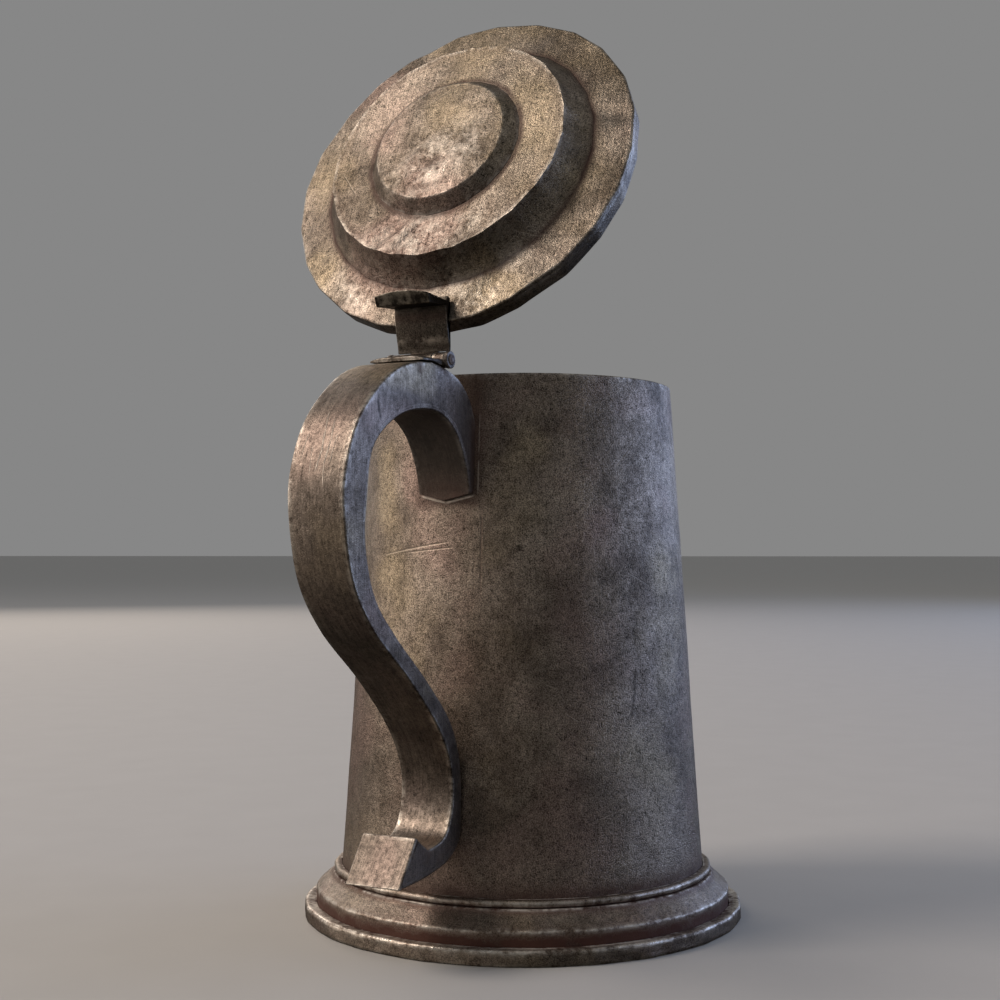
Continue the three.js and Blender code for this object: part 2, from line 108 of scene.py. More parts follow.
HINGE_FROM_AXIS = (HINGE.x - DRUM_AXIS.x) / MM
HINGE_HEIGHT = HINGE.z / MM
KNUCKLE_RADIUS = 2.2
KNUCKLE_BORE = 1.1
END_KNUCKLE_LENGTH = 3.6
KNUCKLE_CLEARANCE = 0.25
WASHER_RADIUS = 2.4
WASHER_THICKNESS = 1.2
LEAF_THICKNESS = 1.6
LEAF_END = 76
LEAF_CAMBER = 0.6  # how much thinner the leaf is at its sides
LEAF_TAPER = 0.4  # and at its end
LEAF_LIFT = 0.45  # how far its end stands off the handle
HAIRLINE = 0.04

LID_DROP = 2.2
LID_EDGE_RADIUS = 53.4
LID_EDGE_HEIGHT = 6.1
LID_LOWER_RADIUS = 52.7
LID_SHEET = 1.7
LID_FLATS = 24
COVE_FOOT_RADIUS = 42
COVE_FOOT_HEIGHT = 7.3
STEP_RADIUS = 36.5
STEP_HEIGHT = 15.9
BOSS_FOOT_RADIUS = 23.3
BOSS_TOP_RADIUS = 20
BOSS_HEIGHT = 3.7
RIM_BAND_INNER_RADIUS = 50.4
BEZEL_OUTER_RADIUS = 43.2
BEZEL_WALL = 1.5
BEZEL_DEPTH = 4
BEZEL_WEB = 1.5

THUMB_LEAN = math.radians(29)
THUMB_LENGTH = 8.9
THUMB_END_SIDES = 2.7
THUMB_END_MIDDLE = 3.7
THUMB_FOOT_RATIO = 0.4
THUMB_END_SLANT = 0.35

STROKE = 20  # how many times longer than wide a brush stroke is
MARK_RADIUS = 50  # distances round the drum are measured at this radius

# ---- Outlines ----


def unit(vectors):
    return vectors / np.maximum(np.linalg.norm(vectors, axis=-1, keepdims=True), 1e-12)


def bell(away):
    """1 where away is 0, falling smoothly to nothing at about 2."""
    return np.exp(-(away**2))


def ellipse(centre, rx, ry, start, end, steps):
    """Points of an ellipse's arc, with angles in degrees."""
    angles = np.radians(np.linspace(start, end, steps + 1))
    return [(centre[0] + rx * math.cos(a), centre[1] + ry * math.sin(a)) for a in angles]


def spline(through, at):
    """Points on the smooth curve through some points; the parameter is 0 at the first and 1 at the second."""
    p = np.array(through, float)
    last = len(p) - 1
    i = np.clip(np.floor(at).astype(int), 0, last - 1)
    t = (at - i)[..., None]
    before, start, end, after = p[np.maximum(i - 1, 0)], p[i], p[i + 1], p[np.minimum(i + 2, last)]
    leave, arrive = (end - before) / 2, (after - start) / 2
    cubic = (2 * start - 2 * end + leave + arrive) * t**3
    return cubic + (3 * end - 3 * start - 2 * leave - arrive) * t**2 + leave * t + start


def run_along(line):
    """How far along a line each of its points is."""
    return np.concatenate([[0], np.cumsum(np.linalg.norm(np.diff(line, axis=0), axis=1))])


def softened(outline, step=1.5):
    """A closed outline with its corners rounded and its sides cut into short steps.

    The outline's points are (x, y) or (x, y, rounding), anticlockwise. Returns the points, how convex the
    nearest corner makes each one (its wear), and how concave (its crease dirt).
    """
    corners = np.array([p[:2] for p in outline], float)
    rounding = [p[2] if len(p) > 2 else 0 for p in outline]
    count = len(corners)
    into = unit(corners - np.roll(corners, 1, axis=0))
    out = np.roll(into, -1, axis=0)
    length = np.linalg.norm(np.roll(corners, -1, axis=0) - corners, axis=1)
    turn = np.arctan2(into[:, 0] * out[:, 1] - into[:, 1] * out[:, 0], (into * out).sum(1))
    points = []
    for i in range(count):
        room = 0.45 * min(length[i - 1], length[i])
        reach = min(rounding[i] * math.tan(abs(turn[i]) / 2), room)
        arc = max(2, math.ceil(abs(turn[i]) / math.radians(18))) if reach > 0 else 0
        a, b = corners[i] - into[i] * reach, corners[i] + out[i] * reach
        if arc:
            t = np.linspace(0, 1, arc + 1)[:, None]
            points += list(a * (1 - t) ** 2 + 2 * corners[i] * t * (1 - t) + b * t * t)
        else:
            points.append(corners[i])
        j = (i + 1) % count
        next_reach = min(rounding[j] * math.tan(abs(turn[j]) / 2), 0.45 * min(length[i], length[j]))
        start, end = b, corners[j] - out[i] * next_reach
        side = np.linalg.norm(end - start)
        inner = [s / side for s in np.linspace(0, side, max(1, math.ceil(side / step)) + 1)[1:-1]]
        guard = 0.2 / side if side > 0.8 else None
        places = sorted(inner + ([guard, 1 - guard] if guard else []))
        points += [start + (end - start) * s for s in places]
    points = np.array(points)
    worn, grime_and_shade = np.zeros(len(points)), np.zeros(len(points))
    for corner, bend in zip(corners, turn):
        away = np.linalg.norm(points - corner, axis=1)
        share = min(abs(bend) / math.radians(75), 1)
        if bend > math.radians(20):
            worn = np.maximum(worn, share * bell(away / 0.6))
        if bend < -math.radians(20):
            grime_and_shade = np.maximum(grime_and_shade, share * bell(away / 1.4))
    return points, worn, grime_and_shade


def flats(count, share, seed, blur):
    """How a hammered ring's radius varies round it: flats between slightly uneven corners, blurred."""
    rng = np.random.default_rng(seed)
    corners = 2 * math.pi * (np.arange(count) + rng.uniform(-0.13, 0.13, count)) / count
    reach = 1 - rng.uniform(0, 0.0022, count)
    at = np.linspace(0, 2 * math.pi, 1440, endpoint=False)
    x, y = reach * np.cos(corners), reach * np.sin(corners)
    i = (np.searchsorted(corners, at, side="right") - 1) % count
    j = (i + 1) % count
    dx, dy = x[j] - x[i], y[j] - y[i]
    chord = (x[i] * dy - y[i] * dx) / (np.cos(at) * dy - np.sin(at) * dx)
    shifts = np.arange(-round(8 * blur), round(8 * blur) + 1)
    spread = bell(shifts / (4 * blur))
    smooth = sum(w * np.roll(chord, k) for k, w in zip(shifts, spread / spread.sum()))

    def factor(angle):
        return 1 - share * (1 - np.interp(np.mod(angle, 2 * math.pi), at, smooth, period=2 * math.pi))

    return factor


def waves(points, size, seed):
    """A smooth random field from about 0 to 1, with hills as wide as size."""
    rng = np.random.default_rng(seed)
    total = np.zeros(len(points))
    for _ in range(14):
        along = unit(rng.normal(size=3)) * 2 * math.pi / size * rng.uniform(0.6, 1.3)
        total += np.sin(points @ along + rng.uniform(0, 2 * math.pi))
    return np.clip(0.5 + total / 14**0.5 / 2.8, 0, 1)


# ---- Parts: vertices and faces with what the material reads ----


class Part:
    def __init__(self, co, faces, worn, grime_and_shade, brush):
        self.co, self.faces = np.asarray(co, float), faces
        self.worn, self.grime_and_shade = np.asarray(worn, float), np.asarray(grime_and_shade, float)
        self.brush = np.asarray(brush, float)
        self.stain_and_shade = np.zeros(len(self.co))
        self.tint = np.zeros(len(self.co))

    x = property(lambda self: self.co[:, 0])
    y = property(lambda self: self.co[:, 1])
    z = property(lambda self: self.co[:, 2])
    radius = property(lambda self: np.hypot(self.x, self.y))

    def most(self, label, values):
        """Raises one of worn, grime_and_shade and stain_and_shade to the values where they are higher."""
        setattr(self, label, np.maximum(getattr(self, label), values))

    def joined(self, other):
        shifted = [tuple(i + len(self.co) for i in face) for face in other.faces]
        made = Part(
            np.vstack([self.co, other.co]),
            list(self.faces) + shifted,
            np.concatenate([self.worn, other.worn]),
            np.concatenate([self.grime_and_shade, other.grime_and_shade]),
            np.vstack([self.brush, other.brush]),
        )
        made.stain_and_shade = np.concatenate([self.stain_and_shade, other.stain_and_shade])
        made.tint = np.concatenate([self.tint, other.tint])
        return made

    def moved(self, matrix):
        m = np.array(matrix)
        self.co = self.co @ m[:3, :3].T + m[:3, 3]
        self.brush = self.brush @ m[:3, :3].T
        return self


def net(rows, columns, close_rows=False, close_columns=True):
    """Quads over a net of vertices that is numbered row by row."""
    r = np.arange(rows if close_rows else rows - 1)[:, None]
    c = np.arange(columns if close_columns else columns - 1)[None, :]
    r2, c2 = (r + 1) % rows, (c + 1) % columns
    corners = (r * columns + c, r * columns + c2, r2 * columns + c2, r2 * columns + c)
    quads = np.stack(np.broadcast_arrays(*corners), -1)
    return [tuple(q) for q in quads.reshape(-1, 4).tolist()]


def capped_net(rows, columns):
    """A net closed round its columns, with a face over each end."""
    first, last = range(columns - 1, -1, -1), range((rows - 1) * columns, rows * columns)
    return [*net(rows, columns), tuple(first), tuple(last)]


def turned(outline, segments=256, ring=None, brushed="round", extra_angles=(), creases=(), step=1.5):
    """A closed outline of (radius, height) swept round Z, with dirty creases at (radius, height, reach)."""
    line, worn, grime_and_shade = softened(outline, step)
    for r, h, reach in creases:
        grime_and_shade = np.maximum(grime_and_shade, bell(np.hypot(line[:, 0] - r, line[:, 1] - h) / reach))
    even = np.linspace(0, 2 * math.pi, segments, endpoint=False)
    angles = np.unique(np.concatenate([even, extra_angles]))
    factor = ring(angles) if ring else np.ones(len(angles))
    radius = line[:, 0][None, :] * factor[:, None]
    cos, sin = np.cos(angles)[:, None], np.sin(angles)[:, None]
    height = np.broadcast_to(line[:, 1][None, :], radius.shape)
    co = np.stack([radius * cos, radius * sin, height], -1).reshape(-1, 3)
    run = run_along(line)
    if brushed == "round":
        brush = np.stack(
            [np.broadcast_to(run[None, :], radius.shape), radius * cos / STROKE, radius * sin / STROKE], -1
        ).reshape(-1, 3)
    elif brushed == "up":
        brush = co * [1, 1, 1 / STROKE]
    else:
        brush = co[:, [1, 2, 0]] * [1, 1, 1 / STROKE]
    faces = net(len(angles), len(line), close_rows=True)
    return Part(co, faces, np.tile(worn, len(angles)), np.tile(grime_and_shade, len(angles)), brush)


def bar_along_y(radius, bore, start, end, rounding=0.25, segments=64):
    """A round bar or tube along Y, round the hinge's axis."""
    made = turned(
        [(bore, start), (radius, start, rounding), (radius, end, rounding), (bore, end)], segments, step=0.8
    )
    made.moved(Z_TO_Y)
    return made


def side_plate(outline, half_width, rounding, step=0.8, across=2.0, warp=None):
    """An (x, z) outline given a width along Y, with rounded arrises on both sides."""
    line, worn, grime_and_shade = softened(outline, step)
    ahead, behind = np.roll(line, -1, axis=0), np.roll(line, 1, axis=0)
    tangent = unit(ahead - behind)
    inward = np.stack([-tangent[:, 1], tangent[:, 0]], 1)
    arris = [(math.cos(a), 1 - math.sin(a), math.sin(2 * a)) for a in np.radians([0, 22, 45, 68, 90])]
    flat = half_width - rounding
    rings = [(-flat - rounding * c, rounding * s, w) for c, s, w in arris]
    rings += [(y, 0, 0) for y in np.linspace(-flat, flat, max(2, round(2 * flat / across)) + 1)[1:-1]]
    rings += [(flat + rounding * c, rounding * s, w) for c, s, w in arris[::-1]]
    co, rub_and_light = [], []
    for y, inset, arris_wear in rings:
        place = line + inward * inset
        co.append(np.stack([place[:, 0], np.full(len(place), y), place[:, 1]], 1))
        rub_and_light.append(np.maximum(worn, 0.8 * arris_wear))
    co = np.vstack(co)
    run = run_along(line)
    brush = np.stack([co[:, 1], np.tile(run, len(rings)) / STROKE, co[:, 2] * 0], 1)
    faces = capped_net(len(rings), len(line))
    made = Part(co, faces, np.concatenate(rub_and_light), np.tile(grime_and_shade, len(rings)), brush)
    if warp is not None:
        made.co = warp(made.co)
    return made


def piece(part, name, at, body, slot, material, *nodes):
    """Makes the part an object that rides on a body and stands for its nodes."""
    mesh = bpy.data.meshes.new(name)
    place = np.array(at)
    co = part.co @ place[:3, :3].T + place[:3, 3]
    mesh.from_pydata(co.tolist(), [], part.faces)
    for label in ("worn", "grime_and_shade", "stain_and_shade", "tint"):
        values = getattr(part, label)
        mesh.attributes.new(label, "FLOAT", "POINT").data.foreach_set("value", values.astype(np.float32))
    for label, vectors in (("brush", part.brush * MM), ("drawn", part.co * MM)):
        mesh.attributes.new(label, "FLOAT_VECTOR", "POINT").data.foreach_set(
            "vector", vectors.astype(np.float32).ravel()
        )
    work = bmesh.new()
    work.from_mesh(mesh)
    bmesh.ops.remove_doubles(work, verts=work.verts, dist=1e-7)
    bmesh.ops.dissolve_degenerate(work, edges=work.edges, dist=1e-8)
    bmesh.ops.triangulate(work, faces=[f for f in work.faces if len(f.verts) > 4])
    bmesh.ops.recalc_face_normals(work, faces=work.faces)
    work.to_mesh(mesh)
    work.free()
    mesh.shade_smooth()
    mesh.set_sharp_from_angle(angle=math.radians(38))
    mesh.materials.append(material)
    made = bpy.data.objects.new(name, mesh)
    bpy.context.scene.collection.objects.link(made)
    weighted = made.modifiers.new("even_normals", "WEIGHTED_NORMAL")
    weighted.keep_sharp = True
    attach(made, body)
    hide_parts(*nodes)
    return made


# ---- Pewter ----


def node(tree, kind, inputs=None, **settings):
    made = tree.nodes.new("ShaderNode" + kind)
    for key, value in settings.items():
        setattr(made, key, value)
    for socket, value in (inputs or {}).items():
        if isinstance(value, Field):
            tree.links.new(value.socket, made.inputs[socket])
        else:
            made.inputs[socket].default_value = value
    return made


class Field:
    """What a material's nodes work out at each point: a number, a colour or a place."""

    def __init__(self, socket):
        self.socket, self.tree = socket, socket.id_data

    def through(self, kind, inputs, output=0, **settings):
        """This field as the first input of a node."""
        return Field(node(self.tree, kind, {0: self, **inputs}, **settings).outputs[output])

    def maths(self, operation, other, clamp=False):
        return self.through("Math", {1: other}, operation=operation, use_clamp=clamp)

    def __add__(self, other):
        return self.maths("ADD", other)

    def __sub__(self, other):
        return self.maths("SUBTRACT", other)

    def __mul__(self, other):
        return self.maths("MULTIPLY", other)

    def most(self, other, clamp=False):
        return self.maths("MAXIMUM", other, clamp)

    def vector(self, operation, inputs, output=0):
        return self.through("VectorMath", inputs, output, operation=operation)

    def ranged(self, low, high, to_low=0.0, to_high=1.0):
        """Mapped from low..high to to_low..to_high, and held at both ends."""
        return self.through("MapRange", {1: low, 2: high, 3: to_low, 4: to_high})

    def mix(self, a, b):
        """From colour a where this field is 0 to colour b where it is 1."""
        a, b = (c if isinstance(c, Field) else (*c, 1) for c in (a, b))
        return self.through("Mix", {6: a, 7: b}, 2, data_type="RGBA")

    def cloud(self, size, detail=3.0, roughness=0.55):
        """Noise with spots about as wide as size, in millimetres."""
        return self.through("TexNoise", {"Scale": 1 / (size * MM), "Detail": detail, "Roughness": roughness})


def attribute(tree, label, kind="Fac"):
    return Field(node(tree, "Attribute", attribute_name=label).outputs[kind])


def pewter(
    name,
    dark=(0.150, 0.119, 0.094),
    light=(0.335, 0.278, 0.226),
    warm=(0.350, 0.285, 0.190),
    rosy=(0.300, 0.215, 0.185),
    wear_and_light_colour=(0.68, 0.63, 0.56),
    crust_and_shadow=(0.072, 0.036, 0.027),
    roughness=0.50,
    grain=1.0,
    strokes=1.0,
    wear=1.0,
    grime=1.0,
    mottle=1.0,
    smudges=0.3,
    scratches=None,
    solder=None,
    marks=None,
):
    """Old pewter: brushed metal under a mottled skin, bright where it is rubbed and dirty in its creases,
    with painted highlight, painted light and painted shade carried in the same channels.
    """
    material = bpy.data.materials.new(name)
    material.use_nodes = True
    tree = material.node_tree
    worn, grime_and_shade, stain_and_shade, tint = (attribute(tree, label) for label in ("worn", "grime_and_shade", "stain_and_shade", "tint"))
    brush, drawn = (attribute(tree, label, "Vector") for label in ("brush", "drawn"))

    # Noise at the sizes that the metal shows
    patches = drawn.cloud(38)
    tints = drawn.vector("ADD", {1: (0.31, 0.17, 0.23)}).cloud(30, 2)
    smudge = drawn.vector("ADD", {1: (0.13, 0.29, 0.07)}).cloud(14, 5, 0.65)
    blotches = drawn.cloud(7, 5, 0.62)
    specks = drawn.cloud(1.5, 3, 0.6)
    fine = drawn.cloud(0.34, 2, 0.6)
    stroke = brush.cloud(0.55, 3, 0.6)
    long_stroke = brush.cloud(2.2, 2)

    # Skin colour
    tone = patches * 0.55 + blotches * 0.45
    skin = tone.ranged(0.5 - 0.14 / mottle, 0.5 + 0.14 / mottle).mix(dark, light)
    tinted = tints + tint
    skin = tinted.ranged(0.52, 0.72, 0, 0.60).mix(skin, warm)
    skin = tinted.ranged(0.46, 0.28, 0, 0.60).mix(skin, rosy)
    speckle = fine.ranged(0.32, 0.68, -0.62 * grain, 0.62 * grain)
    speckle += stroke.ranged(0.3, 0.7, -0.24 * strokes, 0.24 * strokes)
    speckle += specks.ranged(0.32, 0.68, -0.24, 0.24)
    skin = skin.vector("SCALE", {"Scale": speckle + 1.0})

    # Dark spots and stains, and the painted shade under the handle's arch
    pits = (specks + blotches * 0.6).ranged(0.58, 0.52)
    stained_and_shaded = stain_and_shade * blotches.ranged(0.35, 0.65, 0.7, 1.0)
    shade = (pits * 0.42).most(stained_and_shaded, clamp=True)
    shade = shade.most(smudge.ranged(0.52, 0.66, 0, smudges))
    if marks:
        shade = shade.most(line_depth(drawn, specks, *marks))
    skin = shade.mix(skin, (0.045, 0.036, 0.030))

    # Dirt in the creases and a painted shadow at the leaf's end, then bare metal on the edges, with a painted
    # highlight and painted light on parts of the lid
    dirt_and_shade = grime_and_shade * (blotches + specks * 0.4).ranged(0.50, 0.82, 0.45, 1.0)
    dirt_and_shade = dirt_and_shade.maths("MULTIPLY", grime, clamp=True)
    skin = dirt_and_shade.mix(skin, crust_and_shadow)
    rub_and_light = worn * (blotches + specks * 0.6).ranged(0.70, 0.95, 0.0, 0.8)
    rub_and_light = rub_and_light.maths("MULTIPLY", wear, clamp=True)
    skin = rub_and_light.mix(skin, wear_and_light_colour)

    # Surface: hammer marks, grain, brush strokes and scratches
    height = blotches * 1.2 + specks * 0.70 + fine * (0.95 * grain) + stroke * (0.26 * strokes)
    height = height + long_stroke * (0.30 * strokes) - pits * 0.25
    if scratches:
        cut = line_depth(drawn, specks, *scratches)
        height -= cut
        skin = cut.maths("MULTIPLY", 0.75, clamp=True).mix(skin, (0.46, 0.39, 0.32))
    if solder:
        proud = line_depth(drawn, specks, *solder)
        height += proud
        skin = proud.maths("MULTIPLY", 1.2, clamp=True).mix(skin, (0.75, 0.66, 0.57))
    bump = node(tree, "Bump", {"Height": height, "Strength": 1.0, "Distance": 0.12 * MM})

    gloss = tone.ranged(0.35, 0.65, roughness + 0.07, roughness - 0.05)
    gloss += specks.ranged(0.3, 0.7, 0.06, -0.06)
    gloss = gloss + dirt_and_shade * 0.22 - rub_and_light * 0.12
    metal = dirt_and_shade.most(stained_and_shaded).ranged(0.0, 1.0, 1.0, 0.45)
    shader = tree.nodes["Principled BSDF"]
    tree.links.new(skin.socket, shader.inputs["Base Color"])
    tree.links.new(gloss.socket, shader.inputs["Roughness"])
    tree.links.new(metal.socket, shader.inputs["Metallic"])
    tree.links.new(bump.outputs["Normal"], shader.inputs["Normal"])
    return material


def one_line(here, wobble, start, end, width, depth):
    """How deep one line cuts: deepest along its middle, and shallow at its ends."""
    along = Vector((end[0] - start[0], end[1] - start[1], 0)) * MM
    away = here.vector("SUBTRACT", {1: Vector((*start, 0)) * MM})
    share = away.vector("DOT_PRODUCT", {1: along / along.length_squared}, "Value")
    held = share.maths("ADD", 0.0, clamp=True)
    foot = node(here.tree, "VectorMath", {0: along, "Scale": held}, operation="SCALE").outputs[0]
    gap = away.vector("DISTANCE", {1: Field(foot)}, "Value") + wobble
    rest = node(here.tree, "Math", {0: 1.0, 1: held}, operation="SUBTRACT").outputs[0]
    taper = (held * Field(rest)).ranged(0.0, 0.12, 0.25, 1.0)
    return gap.ranged(0.0, width * MM, depth, 0.0) * taper


def line_depth(drawn, specks, flat_of, lines):
    """How deep scratches cut, from 0 to 1. Each runs between two points of a flat drawing of the surface:
    on the drum (distance round from the handle, height), on the lid (across, from the hinge), on the
    handle's back (across, height) and on its +Y side (from the drum's axis, height)."""
    split = drawn.through("SeparateXYZ", {})
    x, y, z = (Field(output) for output in split.socket.node.outputs)
    if flat_of == "drum":
        u, v = y.maths("ARCTAN2", x) * (MARK_RADIUS * MM), z
        slope = (LIP_RADIUS - DRUM_FOOT_RADIUS) / (LIP_HEIGHT - DRUM_FOOT_HEIGHT)
        radius = x.through("CombineXYZ", {1: y}).vector("LENGTH", {}, "Value")
        outer = DRUM_FOOT_RADIUS - slope * DRUM_FOOT_HEIGHT
        facing = (radius + z * -slope).ranged((outer - 1.2) * MM, (outer - 0.9) * MM)
    elif flat_of == "lid":
        u, v, facing = y, x, None
    elif flat_of == "back":
        u, v, facing = y, z, x.ranged(98 * MM, 102 * MM)
    else:
        u, v, facing = x, z, y.ranged(7.6 * MM, 8.0 * MM)
    here = u.through("CombineXYZ", {1: v})
    wobble = (specks - 0.5) * (0.5 * MM)
    cuts = [one_line(here, wobble, *line) for line in lines]
    deepest = cuts[0]
    for cut in cuts[1:]:
        deepest = deepest.most(cut)
    return deepest * facing if facing else deepest


# Scratches on the drum: (distance round from the handle towards +Y, height) of both ends, width and depth
DRUM_SCRATCHES = [
    ((-25.3, 107.6), (0.9, 111.2), 0.42, 0.9), ((-13.9, 108.2), (3.5, 109.8), 0.34, 0.7),
    ((-3.9, 106.2), (-2.3, 108.4), 0.28, 0.5), ((52.7, 132.5), (58.4, 138.0), 0.35, 0.7),
    ((34.5, 64.6), (38.5, 62.0), 0.28, 0.6), ((29.0, 72.5), (33.0, 71.0), 0.25, 0.4),
    ((55.0, 103.0), (64.0, 99.0), 0.25, 0.45), ((42.0, 35.0), (52.0, 38.5), 0.25, 0.45),
    ((-31.0, 80.0), (-24.0, 76.0), 0.30, 0.5), ((150.0, 90.0), (128.0, 84.0), 0.35, 0.7),
    ((-120.0, 60.0), (-101.0, 66.5), 0.35, 0.7), ((92.0, 48.0), (99.0, 58.0), 0.3, 0.6),
]
# Solder that stands proud: under the handle's root, and up beside it
DRUM_SOLDER = [
    ((-8.7, 124.1), (0.0, 122.2), 0.50, 1.0), ((0.0, 122.2), (8.7, 124.1), 0.50, 0.9),
    ((10.0, 124.5), (10.1, 134.0), 0.30, 0.40), ((10.1, 136.0), (10.2, 147.0), 0.26, 0.30),
]
LID_SCRATCHES = [
    ((25.0, -33.9), (34.3, -34.5), 0.30, 0.5), ((20.7, -19.5), (22.0, -18.2), 0.40, 0.7),
    ((-8.0, -74.0), (4.0, -82.0), 0.30, 0.6), ((-33.0, -58.0), (-26.0, -49.0), 0.30, 0.6),
    ((10.0, -40.0), (2.0, -33.0), 0.30, 0.5),
]

# A dark spot and a drip on the drum, and a dark mark on the handle's side
DRUM_MARKS = [
    ((22.0, 110.6), (22.4, 108.6), 1.3, 0.95), ((57.0, 76.0), (56.2, 69.5), 1.6, 0.6),
    ((56.2, 69.5), (54.7, 62.0), 1.1, 0.7), ((44.0, 96.0), (44.6, 94.8), 0.9, 0.6),
]
HANDLE_MARKS = [((96.8, 146.5), (95.4, 141.2), 1.0, 0.9)]
# Wavy light strokes down the handle's back
HANDLE_STROKES = [
    ((-1.4, 143.0), (-0.2, 138.0), 0.20, 0.5), ((-0.2, 138.0), (0.3, 133.0), 0.24, 0.9),
    ((0.3, 133.0), (-0.5, 128.0), 0.26, 0.9), ((1.4, 141.0), (2.3, 135.5), 0.20, 0.6),
    ((2.3, 135.5), (1.7, 129.5), 0.24, 0.9), ((1.7, 129.5), (2.2, 124.0), 0.20, 0.6),
    ((3.8, 137.0), (3.3, 130.0), 0.18, 0.5), ((-2.6, 134.0), (-2.0, 126.0), 0.20, 0.6),
    ((-4.8, 138.0), (-5.4, 131.0), 0.18, 0.4),
]


def drum_pewter():
    return pewter(
        "drum_pewter", roughness=0.44, grain=1.25, strokes=0.45, mottle=1.25, smudges=0.38,
        scratches=("drum", DRUM_SCRATCHES), solder=("drum", DRUM_SOLDER), marks=("drum", DRUM_MARKS),
    )


def foot_pewter():
    return pewter(
        "foot_pewter", light=(0.31, 0.257, 0.21), crust_and_shadow=(0.085, 0.034, 0.023), roughness=0.40, strokes=0.4,
        wear=1.7, grime=1.5, mottle=1.3,
    )


def handle_pewter():
    return pewter(
        "handle_pewter", dark=(0.120, 0.097, 0.081), light=(0.285, 0.237, 0.199), rosy=(0.27, 0.203, 0.175),
        roughness=0.44, grain=0.62, strokes=1.3, smudges=0.25,
        solder=("back", HANDLE_STROKES), marks=("side", HANDLE_MARKS),
    )


def lid_pewter():
    return pewter(
        "lid_pewter", dark=(0.118, 0.095, 0.074), light=(0.335, 0.283, 0.232), warm=(0.31, 0.25, 0.165),
        roughness=0.36, grain=1.2, strokes=1.2, wear=0.75, mottle=1.4, smudges=0.45,
        scratches=("lid", LID_SCRATCHES),
    )


def hinge_pewter():
    return pewter(
        "hinge_pewter", dark=(0.040, 0.034, 0.029), light=(0.110, 0.096, 0.078), warm=(0.10, 0.085, 0.065),
        rosy=(0.11, 0.085, 0.072), wear_and_light_colour=(0.40, 0.36, 0.31), roughness=0.50, strokes=0.3,
    )


def thumb_pewter():
    return pewter(
        "thumb_pewter", dark=(0.016, 0.014, 0.012), light=(0.050, 0.043, 0.036), warm=(0.048, 0.041, 0.031),
        rosy=(0.048, 0.038, 0.033), wear_and_light_colour=(0.34, 0.31, 0.26), roughness=0.50, strokes=0.3,
    )


def leaf_pewter():
    return pewter(
        "leaf_pewter", dark=(0.075, 0.061, 0.052), light=(0.185, 0.152, 0.127), warm=(0.17, 0.14, 0.10),
        rosy=(0.16, 0.12, 0.10), wear=1.2, roughness=0.45,
    )


def pin_iron():
    return pewter(
        "pin_iron", dark=(0.055, 0.048, 0.043), light=(0.14, 0.122, 0.108), warm=(0.13, 0.11, 0.09),
        rosy=(0.12, 0.095, 0.085), wear_and_light_colour=(0.38, 0.34, 0.31), roughness=0.45, grime=1.2,
    )


# ---- Drum and foot ----


def drum_radius(height):
    share = (height - DRUM_FOOT_HEIGHT) / (LIP_HEIGHT - DRUM_FOOT_HEIGHT)
    return DRUM_FOOT_RADIUS + (LIP_RADIUS - DRUM_FOOT_RADIUS) * share


drum_flats = flats(DRUM_FLATS, 0.5, seed=3, blur=4)
SEAM_ANGLE = math.radians(12.9)  # the drum's soldered seam, beside the handle
SEAM_DEPTH = 0.07
SEAM_SHOWS = (94, 122)  # heights between which it shows; elsewhere it is dressed flush


def drum_wall():
    lip, bottom = LIP_HEIGHT, DRUM_BOTTOM
    beside_seam = SEAM_ANGLE + np.array([-1.2, -0.6, -0.3, -0.15, 0, 0.15, 0.3, 0.6, 1.2]) / LIP_RADIUS
    part = turned(
        [
            (drum_radius(bottom) - DRUM_WALL, bottom, 0.2), (drum_radius(bottom), bottom, 0.2),
            (LIP_RADIUS, lip, 0.55), (LIP_RADIUS - DRUM_WALL, lip, 0.55),
        ],
        segments=320,
        ring=drum_flats,
        brushed="up",
        extra_angles=beside_seam,
        creases=[(drum_radius(15.4), 15.4, 3.2), (drum_radius(11) - DRUM_WALL, 10.4, 3.0)],
        step=2.0,
    )
    angle = np.arctan2(part.y, part.x)
    radius = part.radius
    outside = radius > drum_radius(part.z) * 0.99 - 0.6
    past = (angle - SEAM_ANGLE) * radius
    low, high = SEAM_SHOWS
    shows = 0.12 + 0.88 * (np.clip((part.z - low) / 6, 0, 1) * np.clip((high - part.z) / 6, 0, 1))
    seam = -SEAM_DEPTH * shows * bell(past / 0.2)
    dent = -0.22 * waves(part.co, 34, seed=11) - 0.05 * waves(part.co, 11, seed=12)
    moved = 1 + (dent + seam * outside) / radius
    part.co[:, :2] *= moved[:, None]
    part.most("worn", 0.2 * shows * outside * bell((past + 0.2) / 0.2))
    part.most("grime_and_shade", 0.6 * shows * outside * bell(past / 0.3))
    root = np.abs(part.y) - HALF_WIDTH
    beside_root = bell(np.maximum(root, 0) / 2.5) * (part.z > ROOT_POINT_HEIGHT - 1)
    part.most("grime_and_shade", 0.75 * outside * beside_root * (part.x > 0))

    def spot(around, height, reach, strength):
        u = np.angle(np.exp(1j * (angle - around / MARK_RADIUS))) * MARK_RADIUS
        return strength * bell(np.hypot(u, part.z - height) / reach)

    for stain_and_shade in DRUM_STAINS:
        part.most("stain_and_shade", outside * spot(*stain_and_shade))
    for tint in DRUM_TINTS:
        part.tint += spot(*tint)
    return part


